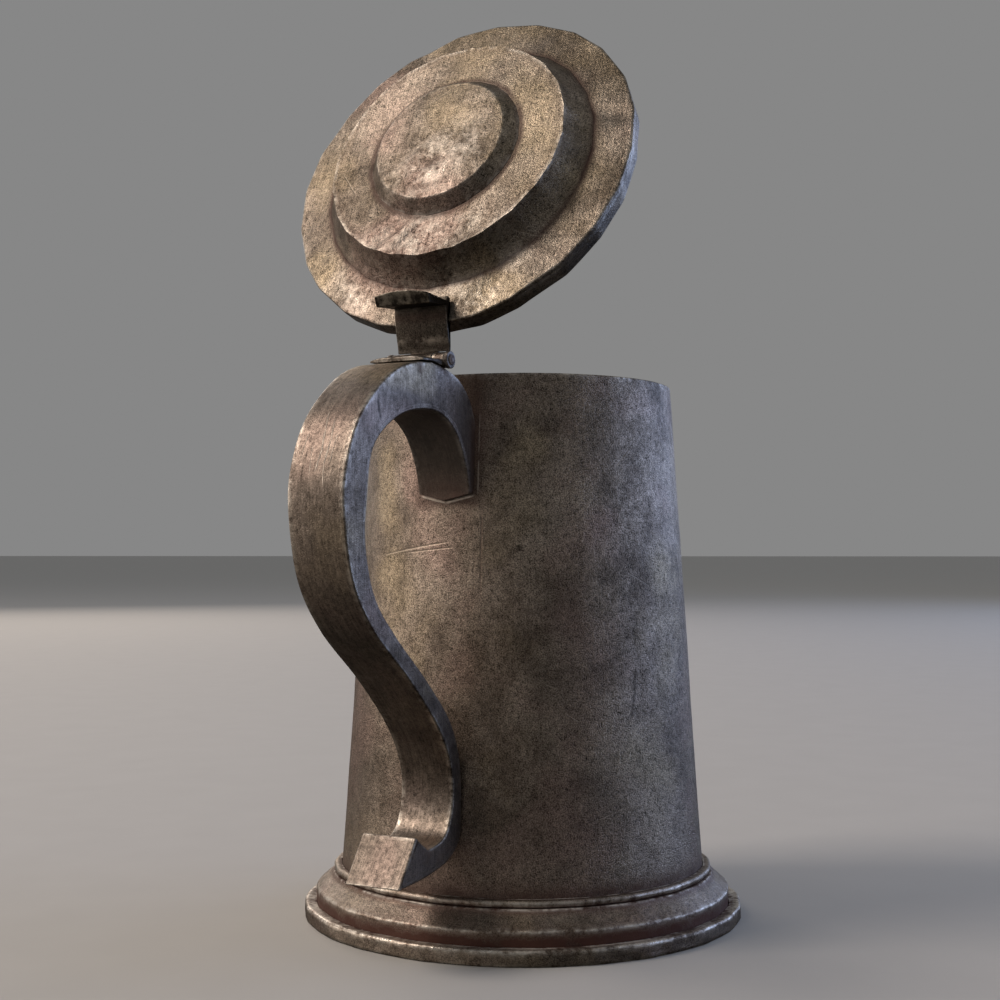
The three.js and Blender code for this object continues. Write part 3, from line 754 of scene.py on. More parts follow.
# Olive and rosy places on the drum, in the same measures
DRUM_TINTS = [
    (-28.0, 138.0, 9.0, 0.30), (-26.0, 122.0, 10.0, 0.34), (-20.0, 106.0, 9.0, 0.26),
    (-12.0, 127.0, 9.0, -0.30), (2.0, 106.0, 12.0, -0.12), (12.0, 144.0, 8.0, -0.15),
    (4.0, 78.0, 10.0, -0.20), (24.0, 142.0, 9.0, 0.18), (20.0, 24.0, 26.0, -0.15),
    (28.0, 62.0, 14.0, 0.12),
]

# Darker clouds and spots on the drum: (distance round from the handle, height, reach, strength)
DRUM_STAINS = [
    (47.6, 145.5, 9.0, 0.35), (12.5, 153.0, 8.0, 0.60), (15.0, 140.0, 5.0, 0.35),
    (22.5, 128.3, 9.0, 0.20), (33.5, 89.8, 10.0, 0.30), (34.0, 70.0, 10.0, 0.30),
    (14.0, 66.0, 7.0, 0.30), (17.0, 31.0, 14.0, 0.35), (44.0, 40.0, 12.0, 0.28),
    (-30.0, 42.0, 15.0, 0.35), (70.0, 60.0, 10.0, 0.3), (150.0, 110.0, 14.0, 0.3),
    (-110.0, 90.0, 12.0, 0.3),
]


def drum_floor():
    under, top = DRUM_BOTTOM + 0.3, DRUM_BOTTOM + 2.3
    edge = drum_radius(top) - DRUM_WALL - 0.12
    return turned(
        [
            (0, under), (edge, under), (edge, top), (edge * 0.8, top, 3), (edge * 0.4, top - 0.6, 3),
            (0, top - 0.6),
        ],
        segments=160,
        ring=drum_flats,
        creases=[(edge, top, 3.5)],
    )


foot_flats = flats(LID_FLATS, 0.5, seed=5, blur=1.5)


def uneven(part, depth, seed, share=1):
    """Wear and small knocks that take a share of the vertices inwards by up to a depth."""
    radius = part.radius
    knocks = 0.6 * waves(part.co, 9, seed) + 0.4 * waves(part.co, 3.5, seed + 1)
    part.co[:, :2] *= (1 - depth * share * knocks / radius)[:, None]
    return part


def foot_band():
    part = turned(
        [
            (BAND_INNER_RADIUS, 0, 0.4), (BAND_RADIUS, 0, 0.9), (BAND_RADIUS, BAND_HEIGHT, 1.1),
            (WAIST_RADIUS + 0.1, BAND_HEIGHT - 0.25, 0.2), (WAIST_RADIUS + 0.1, BAND_SOLE),
            (BAND_INNER_RADIUS, BAND_SOLE, 0.2),
        ],
        ring=foot_flats,
        creases=[(WAIST_RADIUS, BAND_HEIGHT, 2.0)],
        step=1.0,
    )
    outside = part.radius > WAIST_RADIUS + 0.3
    top = bell((part.z - BAND_HEIGHT) / 1.3)
    part.most("worn", 0.75 * outside * top)
    return uneven(part, 0.35, seed=41)


def foot_moulding():
    under = BAND_SOLE + 0.05
    bottom = DRUM_BOTTOM
    bore_top, bore_foot = drum_radius(BEVEL_TOP_HEIGHT) + 0.15, drum_radius(bottom) + 0.15
    inner = WAIST_RADIUS - FOOT_WALL
    part = turned(
        [
            (inner, under), (WAIST_RADIUS, under), (WAIST_RADIUS, WAIST_HEIGHT, 0.9),
            (BEVEL_TOP_RADIUS + 0.9, BEVEL_TOP_HEIGHT - 1.2, 2.5),
            (BEVEL_TOP_RADIUS, BEVEL_TOP_HEIGHT - 0.1, 0.2), (bore_top, BEVEL_TOP_HEIGHT),
            (bore_foot, bottom), (BEVEL_TOP_RADIUS, bottom, 0.6),
            (inner, bottom - (inner - BEVEL_TOP_RADIUS), 0.6),
        ],
        ring=foot_flats,
        creases=[(WAIST_RADIUS, BAND_HEIGHT, 3.2), (BEVEL_TOP_RADIUS - 0.6, BEVEL_TOP_HEIGHT, 1.8)],
        step=1.0,
    )
    outside = part.radius > BEVEL_TOP_RADIUS
    return uneven(part, 0.30, seed=43, share=outside)


def collar_bead():
    under = BEVEL_TOP_HEIGHT + 0.02
    half = (DRUM_FOOT_HEIGHT - under) / 2
    round_side = ellipse((BEAD_RADIUS - half, under + half), half, half, -90, 90, 10)
    inner = drum_radius(under) + 0.05
    part = turned(
        [(inner, under), *round_side, (inner, DRUM_FOOT_HEIGHT)],
        ring=foot_flats,
        creases=[(inner, DRUM_FOOT_HEIGHT, 0.8), (BEAD_RADIUS - 0.8, under, 1.0)],
        step=0.8,
    )
    crown = part.radius - (BEAD_RADIUS - half)
    part.most("worn", 0.75 * np.clip(crown / half, 0, 1) ** 2)
    return part


# ---- Handle ----

SHOULDER = [(44, 141), (48, 150), (54, 155.2), (61, 157.7), (70, 158.9)]
BACK_SWEEP = [
    (70, 158.9), (82, 157.1), (93.2, 152), (104.8, 141.8), (110.7, 130), (111.9, 118.4), (108, 101.5),
    (98, 88.4), (81, 75.3), (66.5, 62), (59.5, 51), (58.6, 40.5), (62.5, 33), (71.1, 31),
]
HEEL_TOP = (77.4, 35)
INSIDE_SWEEP = [
    (86, 23.1), (73, 23.8), (61, 26), (54.6, 30.5), (53.3, 37), (53.3, 45), (55, 54.5), (60.5, 64),
    (73, 75.6), (87, 86.6), (97, 96.5), (101.5, 108.5), (101.6, 120), (98.5, 134), (88, 142.2),
    (76, 145.5), (65, 145.2), (56.5, 140.5), (51.4, 132.8), (49.3, 126), (48.6, 121), (46, 114),
]
HEEL_TOE = INSIDE_SWEEP[0]
# Places on the back that face places on the inside, both counted in points of their curves from the root down
FACING = [
    (0, 0), (1, 2), (2, 3), (3, 4), (4, 5.1), (5, 6.1), (6, 7.1), (7, 8), (8, 8.7), (9, 9.2), (10, 10.2),
    (11, 11.5), (12, 12.7), (13, 13.9), (14, 15.2), (15, 16.5), (16, 18.3), (17, 19.8), (18, 21),
]
NOTCH_PLACE = 17


def back_at(place):
    place = np.asarray(place, float)
    sweep_start = len(SHOULDER) - 1
    made = np.where(
        (place <= sweep_start)[..., None],
        spline(SHOULDER, np.minimum(place, sweep_start)),
        spline(BACK_SWEEP, np.clip(place - sweep_start, 0, len(BACK_SWEEP) - 1)),
    )
    heel = (place > NOTCH_PLACE)[..., None]
    notch, top = np.array(BACK_SWEEP[-1]), np.array(HEEL_TOP)
    return np.where(heel, notch + (top - notch) * (place - NOTCH_PLACE)[..., None], made)


def inside_at(place):
    return spline(INSIDE_SWEEP[::-1], np.asarray(place, float))


def across_of(curve, place, side):
    """The unit direction square to a curve, to its left (side 1) or right (side -1)."""
    small = 0.01
    ahead = curve(np.minimum(place + small, 18 if curve is back_at else 21))
    along = unit(ahead - curve(np.maximum(place - small, 0)))
    return side * np.stack([-along[..., 1], along[..., 0]], -1)


def handle_stations():
    """Matching places on the back and the inside, about a millimetre apart."""
    back, inside = [0.0], [0.0]
    for (b1, i1), (b2, i2) in zip(FACING, FACING[1:]):
        outer, inner = back_at([b1, b2]), inside_at([i1, i2])
        length = max(np.linalg.norm(outer[1] - outer[0]), np.linalg.norm(inner[1] - inner[0]))
        share = np.linspace(0, 1, math.ceil(length / 1.1) + 1)[1:]
        back += list(b1 + (b2 - b1) * share)
        inside += list(i1 + (i2 - i1) * share)
    return np.array(back), np.array(inside)


back_places, inside_places = handle_stations()
# The shell and the strip stop at the heel's cap: the last place on each line is where it meets the cap
CAP_BACK = 18 - HEEL_CAP_THICKNESS / 7.45
TOE_SKEW = 0.78  # the cap's thickness across its face, over its length along the inside line
toe_places = np.linspace(20, 21, 200)
CAP_INSIDE = np.interp(HEEL_TOE[0] - HEEL_CAP_THICKNESS / TOE_SKEW, inside_at(toe_places)[:, 0], toe_places)
back_places = back_places - (18 - CAP_BACK) * np.clip(back_places - NOTCH_PLACE, 0, 1)
inside_places = inside_places - (21 - CAP_INSIDE) * np.clip(inside_places - 20, 0, 1)


def root_end(y):
    """How low the handle's root comes on the drum, which is lowest in the middle."""
    return ROOT_POINT_HEIGHT + (ROOT_SIDES_HEIGHT - ROOT_POINT_HEIGHT) * np.abs(y) / HALF_WIDTH


def sink_into_drum(part):
    """Keeps the handle's root inside the drum's sheet where it is soldered on."""
    radius = part.radius
    inside_sheet = drum_radius(part.z) - DRUM_WALL / 2
    at_root = (part.z > 100) & (part.x < 60)
    below = part.z < root_end(part.y) + 0.3
    moved = at_root & ((radius < inside_sheet) | below)
    part.co[moved, :2] *= (inside_sheet[moved] / radius[moved])[:, None]
    return part


def clear_barrel(part):
    """Hollows the shoulder where the hinge's barrel lies in it."""
    away = part.co[:, [0, 2]] - [HINGE_FROM_AXIS, HINGE_HEIGHT]
    distance = np.linalg.norm(away, axis=1)
    room = KNUCKLE_RADIUS + 0.15
    near = distance < room
    part.co[near, 0] = HINGE_FROM_AXIS + away[near, 0] / distance[near] * room
    part.co[near, 2] = HINGE_HEIGHT + away[near, 1] / distance[near] * room
    part.most("grime_and_shade", bell((distance - room) / 1.5) * (distance < 8))
    return part


def swept(places, widths, worn, run):
    """A closed section carried along the handle: a row of (x, z) places at each station, with the same
    widths along Y and the same wear all the way."""
    stations, around = places.shape[:2]
    y = np.tile(widths, stations)
    co = np.stack([places[..., 0].ravel(), y, places[..., 1].ravel()], 1)
    from_first = np.linalg.norm(places - places[:, :1], axis=-1).ravel()
    brush = np.stack([y, from_first, np.repeat(run, around) / STROKE], 1)
    return Part(co, capped_net(stations, around), np.tile(worn, stations), np.zeros(len(co)), brush)


# Dark places on the handle's +Y side: (x, z, reach along x, reach along z, strength)
HANDLE_STAINS = [
    (103.6, 140.0, 2.0, 4.0, 0.35), (88.0, 150.0, 2.5, 2.0, 0.25), (53.0, 138.0, 9.0, 15.0, 0.80),
    (73.0, 146.5, 15.0, 3.2, 0.60), (103.5, 120.0, 4.0, 9.0, 0.25),
]


def handle_shell():
    """The back and both flat sides, one folded sheet."""
    back, inside = back_at(back_places), inside_at(inside_places)
    inward = across_of(back_at, back_places, -1)
    into_metal = across_of(inside_at, inside_places, 1)
    seam = inside + into_metal * (HANDLE_WALL + HAIRLINE / 2)
    w, r, t = HALF_WIDTH, HANDLE_ARRIS, HANDLE_WALL
    crown, relief = 0.12, 0.06
    q, y, worn = [], [], []

    def add(place, width, rub_and_light=0.0):
        q.append(place)
        y.append(width)
        worn.append(rub_and_light)

    side_top = back + inward * (r + crown + relief)
    side_shares = np.array([0, 0.04, 0.1, *np.linspace(0.16, 0.88, 13), 0.94, 0.98, 1])
    side_wear = np.interp(side_shares, [0.75, 0.93, 1], [0, 0.15, 0.6])
    for share, rub_and_light in zip(side_shares, side_wear):
        add(seam + (side_top - seam) * share, w, rub_and_light)
    for a in np.radians([22, 45, 68]):
        add(back + inward * (r * (1 - math.sin(a)) + crown + relief), w - r * (1 - math.cos(a)), 1.0)
    for share in np.linspace(1, -1, 15):
        rub_and_light = 0.75 * max(0, abs(share) - 0.85) / 0.15
        add(back + inward * (relief + crown * share**2), (w - r) * share, rub_and_light)
    for a in np.radians([68, 45, 22]):
        add(back + inward * (r * (1 - math.sin(a)) + crown + relief), -w + r * (1 - math.cos(a)), 1.0)
    for share, rub_and_light in zip(side_shares[::-1], side_wear[::-1]):
        add(seam + (side_top - seam) * share, -w, rub_and_light)
    inner_top = back + inward * t
    for share in (0, 0.5, 1):
        add(seam + (inner_top - seam) * share, -w + t)
    for share in (1, 0.5, 0):
        add(seam + (inner_top - seam) * share, w - t)
    part = swept(np.stack(q, 1), y, worn, run_along(back))
    notch = np.hypot(part.x - BACK_SWEEP[-1][0], part.z - BACK_SWEEP[-1][1])
    part.most("grime_and_shade", 0.9 * bell(notch / 2.2))
    # Painted shadow: a dark band across the back where the leaf's lifted end stands over it, through the
    # crease-dirt channel
    leaf_end_shadow_reach = np.abs(part.x - LEAF_END) / 1.2
    part.most("grime_and_shade", 0.9 * bell(leaf_end_shadow_reach) * (part.z > 155))
    on_side = np.abs(part.y) > HALF_WIDTH - 0.01
    part.brush[on_side] = part.co[on_side] * [1, 0, 1 / STROKE]
    top = bell((part.x - 80) / 13) * np.clip((part.z - 146) / 5, 0, 1)
    part.tint += 0.28 * top
    for x, z, reach_x, reach_z, strength in HANDLE_STAINS:
        away = np.hypot((part.x - x) / reach_x, (part.z - z) / reach_z)
        part.most("stain_and_shade", strength * bell(away) * (part.y > 0))
    return finish_handle(part)


def narrow(part):
    """Takes the handle in a little, unevenly, across its width."""
    part.co[:, 1] *= 1 - HANDLE_UNEVENNESS / HALF_WIDTH * waves(part.co, 30, seed=21)


def finish_handle(part):
    """Hand work on the handle, its dirt beside the drum, and its seats for the drum and the hinge."""
    narrow(part)
    beside_drum = part.radius - drum_radius(part.z)
    at_root = part.z > ROOT_POINT_HEIGHT - 2
    part.most("grime_and_shade", 0.9 * at_root * bell(np.maximum(beside_drum, 0) / 2.6))
    part.worn = part.worn * (1 - 0.8 * part.grime_and_shade)
    return clear_barrel(sink_into_drum(part))


def inside_place_at_height(height):
    """Where the inside line comes down to a height at the root."""
    places = np.linspace(0, 4, 400)
    heights = inside_at(places)[:, 1]
    return np.interp(height, heights, places)


def handle_inner_strip():
    """The strip along the handle's inner side, from a shallow point on the drum to the heel."""
    w, r, t = HALF_WIDTH, HANDLE_ARRIS, HANDLE_WALL
    q_offset, y, worn = [], [], []

    def add(depth, width, rub_and_light=0.0):
        q_offset.append(depth)
        y.append(width)
        worn.append(rub_and_light)

    for share in np.linspace(-1, 1, 15):
        add(0, (w - r) * share, 0.7 * max(0, abs(share) - 0.85) / 0.15)
    for a in np.radians([22, 45, 68]):
        add(r * (1 - math.cos(a)), w - r + r * math.sin(a), 1.0)
    add(r, w, 0.7)
    add(t - HAIRLINE / 2, w, 0.1)
    add(t - HAIRLINE / 2, 0)
    add(t - HAIRLINE / 2, -w, 0.1)
    add(r, -w, 0.7)
    for a in np.radians([68, 45, 22]):
        add(r * (1 - math.cos(a)), -w + r - r * math.sin(a), 1.0)
    y, worn, depth = np.array(y), np.array(worn) * 0.35, np.array(q_offset)
    start = inside_place_at_height(root_end(y))
    common = 3.0  # beyond this place all the strip's lines run level
    places = inside_places[inside_places > common]
    lead = np.linspace(0, 1, 22)[:-1, None]
    places = np.vstack([start + (common - start) * lead, np.repeat(places[:, None], len(y), 1)])
    line = inside_at(places)
    section = line + across_of(inside_at, places, 1) * depth[None, :, None]
    part = swept(section, y, worn, run_along(line[:, 0]))
    # Painted shade: the underside of the arch is darkened to near-black where it faces down, through the
    # stain channel
    arch_shade_mask = np.clip((part.z - 112) / 20, 0, 1) * np.clip((104 - part.x) / 12, 0, 1)
    part.stain_and_shade = 1.0 * arch_shade_mask * (np.abs(part.y) < w - 0.2)
    return finish_handle(part)


def handle_heel_cap():
    notch_way = unit(np.array(BACK_SWEEP[-1], float) - HEEL_TOP)
    inside_way = unit(inside_at([20.9])[0] - HEEL_TOE)
    top_in = HEEL_TOP + notch_way * (HEEL_CAP_THICKNESS - HAIRLINE)
    toe_in = HEEL_TOE + inside_way * (HEEL_CAP_THICKNESS - HAIRLINE) / TOE_SKEW
    outline = [
        (*toe_in,), (*HEEL_TOE, 0.3), (*HEEL_TOP, 0.4), (*top_in,),
    ]
    part = side_plate(outline, HALF_WIDTH, HANDLE_ARRIS, step=1.0, across=1.2)
    part.tint[:] = -0.22 * bell(part.y / 5)
    part.stain_and_shade[:] = 0.32 + 0.15 * bell((part.z - HEEL_TOE[1]) / 3)
    narrow(part)
    return part


# ---- Hinge on the handle ----


def hinge_leaf():
    """The plate on the shoulder that carries the end knuckles."""
    start = HINGE_FROM_AXIS + KNUCKLE_RADIUS + 0.1
    places = np.linspace(3, 6, 200)
    lift = 0.08 + LEAF_LIFT * np.clip((back_at(places)[:, :1] - LEAF_END + 6) / 6, 0, 1) ** 2
    bed = back_at(places) + across_of(back_at, places, 1) * lift
    bed = bed[(bed[:, 0] > start) & (bed[:, 0] < LEAF_END)][::12]
    up = np.array([0, LEAF_THICKNESS])
    top = bed + up
    outline = [tuple(p) for p in bed]
    outline[0] = (*outline[0], 0.2)
    outline[-1] = (*outline[-1], 0.2)
    outline += [(*top[-1], 0.8)] + [tuple(p) for p in top[-2:0:-1]] + [(*top[0], 0.3)]
    part = side_plate(outline, HALF_WIDTH, 0.35, step=0.7, across=0.9)
    out = np.clip((part.x - start - 1) / 4, 0, 1)
    bed_height = np.interp(part.x, bed[:, 0], bed[:, 1])
    thinner = 1 - LEAF_CAMBER * out * (np.abs(part.y) / HALF_WIDTH) ** 4
    thinner *= 1 - LEAF_TAPER * np.clip((part.x - LEAF_END + 5) / 5, 0, 1) ** 2
    part.co[:, 2] = bed_height + (part.z - bed_height) * thinner
    part.stain_and_shade[:] = 0.5
    return part


def end_knuckle(side):
    inner = HALF_WIDTH - END_KNUCKLE_LENGTH
    start, end = (inner, HALF_WIDTH) if side > 0 else (-HALF_WIDTH, -inner)
    return bar_along_y(KNUCKLE_RADIUS, KNUCKLE_BORE, start, end, 0.3)


def pin_washer(side):
    inner = HALF_WIDTH + 0.1
    outer = HALF_WIDTH + 0.15 + WASHER_THICKNESS
    start, end = (inner, outer) if side > 0 else (-outer, -inner)
    part = bar_along_y(WASHER_RADIUS, 1.02, start, end, 0.35)
    part.stain_and_shade[:] = 0.65
    return part


def hinge_pin():
    face = HALF_WIDTH + 0.18 + WASHER_THICKNESS
    radius, peen_radius, peen = 1.0, 1.5, 0.6
    dome = [(peen_radius, face, 0.1), (peen_radius * 0.93, face + peen * 0.5)]
    dome.append((peen_radius * 0.6, face + peen * 0.88))
    end = [(radius, face), *dome, (0, face + peen)]
    other = [(p[0], -p[1], *p[2:]) for p in reversed(end)]
    part = turned([*other, *end], 48, step=1.2)
    return part.moved(Z_TO_Y)


# ---- Lid, drawn closed with the hinge's axis at the origin and the drum towards -X ----

lid_flats = flats(LID_FLATS, 0.95, seed=8, blur=0.8)
COVE_HOLLOW = 0.3  # how far the cove goes from a straight slope to a full quarter round
LID_CENTRE = Matrix.Translation((-HINGE_FROM_AXIS, 0, -LID_DROP))

# Shallow dents in the lid: (across, from the centre towards the hinge, half length, half width, way, depth)
LID_DENTS = [
    (-11.3, 28.0, 8.5, 1.5, 130, 0.55), (-14.8, 25.6, 8.0, 1.2, 130, -0.25),
    (-5.2, 31.0, 7.5, 1.4, 140, 0.55), (-8.4, 29.2, 7.0, 1.1, 136, -0.25),
    (13.2, 30.8, 7.0, 1.3, 139, 0.50), (10.6, 30.0, 6.5, 1.1, 139, -0.20),
    (-7.3, 3.0, 9.0, 1.8, 135, 0.35), (-3.6, 9.0, 8.0, 1.6, 120, 0.28), (2.0, 5.0, 6.0, 1.8, 150, 0.22),
    (9.0, -6.0, 9.0, 4.0, 15, 0.25), (-30.0, 2.0, 9.0, 3.0, 95, 0.35),
    (-38.0, 22.0, 6.0, 2.5, 60, 0.50), (-22.0, 33.5, 5.5, 1.2, 120, 0.45),
    (-27.5, 28.0, 5.5, 1.3, 130, 0.45), (-35.5, 31.5, 6.0, 2.0, 140, 0.45),
    (20.0, 40.0, 8.0, 3.0, 150, 0.40), (45.0, -12.0, 7.0, 3.0, 80, 0.45),
    (-20.0, -42.0, 7.0, 3.0, 20, 0.40), (30.0, -20.0, 9.0, 3.0, 125, 0.30),
]


# Darker clouds and pits on the lid: (across, from the centre towards the hinge, reach, strength)
LID_STAINS = [
    (-46.3, 15.0, 2.2, 0.55), (-45.0, 20.0, 12.0, 0.30), (-46.0, -8.0, 12.0, 0.30),
    (39.0, 4.0, 5.0, 0.60), (36.0, 16.0, 5.0, 0.50), (24.0, 6.0, 9.0, 0.20), (-38.2, 28.4, 3.0, 0.55),
    (-42.0, 22.0, 2.0, 0.35), (30.0, 28.0, 5.0, 0.25), (42.5, -8.4, 3.5, 0.45), (38.0, -2.0, 3.0, 0.35),
    (47.0, -10.0, 3.0, 0.40), (20.4, -39.3, 6.0, 0.35), (-4.6, -30.6, 4.0, 0.45),
    (-22.3, 15.2, 6.0, 0.25), (0.0, -15.9, 5.0, 0.22), (33.5, 38.8, 6.0, 0.30), (12.5, 46.3, 5.0, 0.25),
    (-30.0, -32.0, 7.0, 0.30), (48.0, 12.0, 5.0, 0.25),
]


# Places on the lid made bright, in the same measures: rubbed wear, with a painted highlight on the boss, the
# plate's bottom and the flange's bottom, and painted light on the cove's foot by the hinge
LID_WEAR_AND_PAINTED_LIGHT = [
    (-2.0, 9.0, 9.0, 0.85), (8.0, 4.0, 9.0, 0.60), (-2.0, 30.0, 8.0, 0.90), (-14.0, 30.0, 6.0, 0.50),
    (14.0, 28.0, 7.0, 0.60), (-24.0, 42.0, 8.0, 0.60), (14.0, 47.0, 9.0, 0.70), (6.0, 39.0, 9.0, 0.80),
    (-10.0, 38.0, 8.0, 0.70), (24.0, 33.0, 6.0, 0.60),
]


# Olive and rosy places on the lid, in the same measures
LID_TINTS = [
    (20.0, -42.0, 20.0, 0.22), (-41.3, 30.6, 4.0, 0.40), (-44.0, -4.0, 12.0, 0.10),
    (0.0, 26.0, 12.0, -0.22), (-12.0, 34.0, 12.0, -0.20), (-22.0, -8.0, 9.0, -0.15),
    (0.0, -12.0, 12.0, 0.15), (22.0, -14.0, 9.0, 0.15), (38.0, 6.0, 14.0, 0.22),
]


def hand_worked(part):
    """Uneven hammer work on a part of the lid, and its dents."""
    co = part.co

    def spot(across, towards, reach, strength):
        return strength * bell(np.hypot(co[:, 1] - across, co[:, 0] - towards) / reach)

    for tint in LID_TINTS:
        part.tint += spot(*tint)
    for stain_and_shade in LID_STAINS:
        part.most("stain_and_shade", spot(*stain_and_shade))
    # Painted highlight and painted light, partly rubbed wear, raised in the wear channel
    for bright_place in LID_WEAR_AND_PAINTED_LIGHT:
        part.most("worn", spot(*bright_place))
    radius = np.maximum(np.hypot(co[:, 0], co[:, 1]), 1e-6)
    co[:, 2] += 0.5 * waves(co * [1, 1, 0], 27, seed=31) - 0.5
    co[:, :2] *= (1 - 0.18 * waves(co, 16, seed=32) / np.maximum(radius, 20))[:, None]
    for across, towards, half_length, half_width, way, depth in LID_DENTS:
        a = math.radians(way)
        x, y = co[:, 0] - towards, co[:, 1] - across
        along, aside = x * math.cos(a) + y * math.sin(a), -x * math.sin(a) + y * math.cos(a)
        co[:, 2] -= depth * np.exp(-((along / half_length) ** 2) - (aside / half_width) ** 2)
    return part.moved(LID_CENTRE)


def shallow_cove():
    """The slope from the lid's flange up to its raised middle, hollowed a little."""
    rx, ry = COVE_FOOT_RADIUS - STEP_RADIUS, STEP_HEIGHT - COVE_FOOT_HEIGHT
    hollow = np.array(ellipse((COVE_FOOT_RADIUS, STEP_HEIGHT), rx, ry, 270, 180, 8))
    share = np.linspace(0, 1, len(hollow))[:, None]
    straight = hollow[0] * (1 - share) + hollow[-1] * share
    return [tuple(p) for p in hollow * COVE_HOLLOW + straight * (1 - COVE_HOLLOW)]


def moved_left(line, distance):
    """An open line moved sideways to its left, with mitred corners."""
    p = np.array([q[:2] for q in line], float)
    along = unit(np.diff(p, axis=0))
    left = np.stack([-along[:, 1], along[:, 0]], 1)
    ahead, behind = np.vstack([left, left[-1:]]), np.vstack([left[:1], left])
    mitre = ahead + behind
    mitre /= (mitre * ahead).sum(1, keepdims=True)
    return [tuple(q) for q in p + mitre * distance]


def lid_cap():
    top = [(LID_EDGE_RADIUS, LID_EDGE_HEIGHT), *shallow_cove(), (0, STEP_HEIGHT)]
    under = moved_left(top, LID_SHEET)[::-1]
    part = turned(
        [(0, under[0][1]), *under[1:], (*top[0], 0.7), *top[1:]],
        segments=288,
        ring=lid_flats,
        brushed="across",
        creases=[(BOSS_FOOT_RADIUS + 0.2, STEP_HEIGHT, 1.0), (COVE_FOOT_RADIUS, COVE_FOOT_HEIGHT, 0.7)],
        step=1.3,
    )
    return hand_worked(part)


def lid_boss():
    foot, top = STEP_HEIGHT + HAIRLINE, STEP_HEIGHT + BOSS_HEIGHT
    part = turned(
        [
            (0, foot), (BOSS_FOOT_RADIUS, foot, 0.1), (BOSS_TOP_RADIUS, top - 0.1, 0.9),
            (BOSS_TOP_RADIUS * 0.6, top + 0.55, 12), (0, top + 0.8),
        ],
        segments=224,
        ring=lid_flats,
        brushed="across",
        creases=[(BOSS_FOOT_RADIUS + 0.3, foot, 1.1)],
        step=1.2,
    )
    return hand_worked(part)


def lid_rim_band():
    top = LID_EDGE_HEIGHT - LID_SHEET - HAIRLINE
    lean = (LID_EDGE_RADIUS - LID_LOWER_RADIUS) / LID_EDGE_HEIGHT
    part = turned(
        [
            (RIM_BAND_INNER_RADIUS, 0, 0.4), (LID_LOWER_RADIUS, 0, 0.7),
            (LID_LOWER_RADIUS + lean * top, top), (RIM_BAND_INNER_RADIUS, top),
        ],
        segments=288,
        ring=lid_flats,
        step=0.9,
    )
    return hand_worked(part)


def lid_bezel():
    """The ring that drops inside the drum's lip, with the shelf that sits on it."""
    shelf = LIP_HEIGHT - HINGE_HEIGHT + LID_DROP + 0.1
    inner, outer = BEZEL_OUTER_RADIUS - BEZEL_WALL, RIM_BAND_INNER_RADIUS - 0.05
    top = COVE_FOOT_HEIGHT - LID_SHEET - 0.1
    part = turned(
        [
            (inner, -BEZEL_DEPTH, 0.4), (BEZEL_OUTER_RADIUS, -BEZEL_DEPTH, 0.5),
            (BEZEL_OUTER_RADIUS, shelf, 0.3), (outer, shelf, 0.1), (outer, shelf + BEZEL_WEB),
            (BEZEL_OUTER_RADIUS, shelf + BEZEL_WEB), (BEZEL_OUTER_RADIUS, top), (inner, top),
        ],
        segments=224,
        step=1.2,
        creases=[(BEZEL_OUTER_RADIUS, shelf, 1.6), (outer, shelf, 1.4), (inner, top, 2.5)],
    )
    return part.moved(LID_CENTRE)


# The strap's side view, as (distance from the hinge towards the drum, height above it, rounding)
STRAP_TOP = [(3.4, -0.7, 0.1), (7.5, 2.8, 5), (13.4, 6.5, 3), (16.4, 6.6, 0.5)]
STRAP_BASE = [(3.4, -1, 0.1), (8.3, 1.1, 3), (11.4, 4.5, 2), (16.4, 5.1, 0.1)]


def lid_side(points):
    """A side view given as (distance towards the drum, height), turned to run anticlockwise."""
    return [(-p[0], *p[1:]) for p in reversed(points)]


def lid_strap():
    outline = lid_side([*STRAP_BASE, *reversed(STRAP_TOP)])
    part = side_plate(outline, HALF_WIDTH - 0.15, 0.3, step=0.5, across=0.7)
    part.most("worn", 0.95 * bell((part.x + 6.0) / 0.8))
    part.stain_and_shade = 0.3 * np.clip((-part.x - 8) / 5, 0, 1)
    return part


def lid_knuckle():
    half = HALF_WIDTH - END_KNUCKLE_LENGTH - KNUCKLE_CLEARANCE
    barrel = bar_along_y(KNUCKLE_RADIUS, KNUCKLE_BORE, -half, half, 0.25)
    web_outline = [(1.3, -1.7), (3.1, -1.9, 0.2), (6.6, -0.3, 0.3), (3.6, -0.8), (1.6, -0.4)]
    web = side_plate(lid_side(web_outline), half - 0.1, 0.15, step=0.6, across=1.5)
    return barrel.joined(web)


def thumbpiece():
    """A wedge that leans back over the hinge: flat on the handle's side, arched on the lid's."""
    buried = 1.0
    length = THUMB_LENGTH + buried
    foot_along, foot_height, _ = STRAP_TOP[2]

    def shape(co):
        thickness, y, along = co[:, 0].copy(), co[:, 1], co[:, 2].copy()
        t = along / length
        end = THUMB_END_MIDDLE - (THUMB_END_MIDDLE - THUMB_END_SIDES) * (y / HALF_WIDTH) ** 2
        thick = thickness * end * (THUMB_FOOT_RATIO + (1 - THUMB_FOOT_RATIO) * t)
        up = along + THUMB_END_SLANT * thick * t - buried
        return np.stack([-thick, y, up], 1)

    outline = [(0, 0), (1, 0), (1, length), (0, length)]
    corners = [(*outline[0],), (*outline[1],), (*outline[2], 0.16), (*outline[3], 0.16)]
    part = side_plate(corners, HALF_WIDTH, 0.12, step=0.5, across=1.0, warp=shape)
    lean = Matrix.Translation((-foot_along, 0, foot_height)) @ Matrix.Rotation(THUMB_LEAN, 4, "Y")
    return part.moved(lean)


# ---- The pieces ----


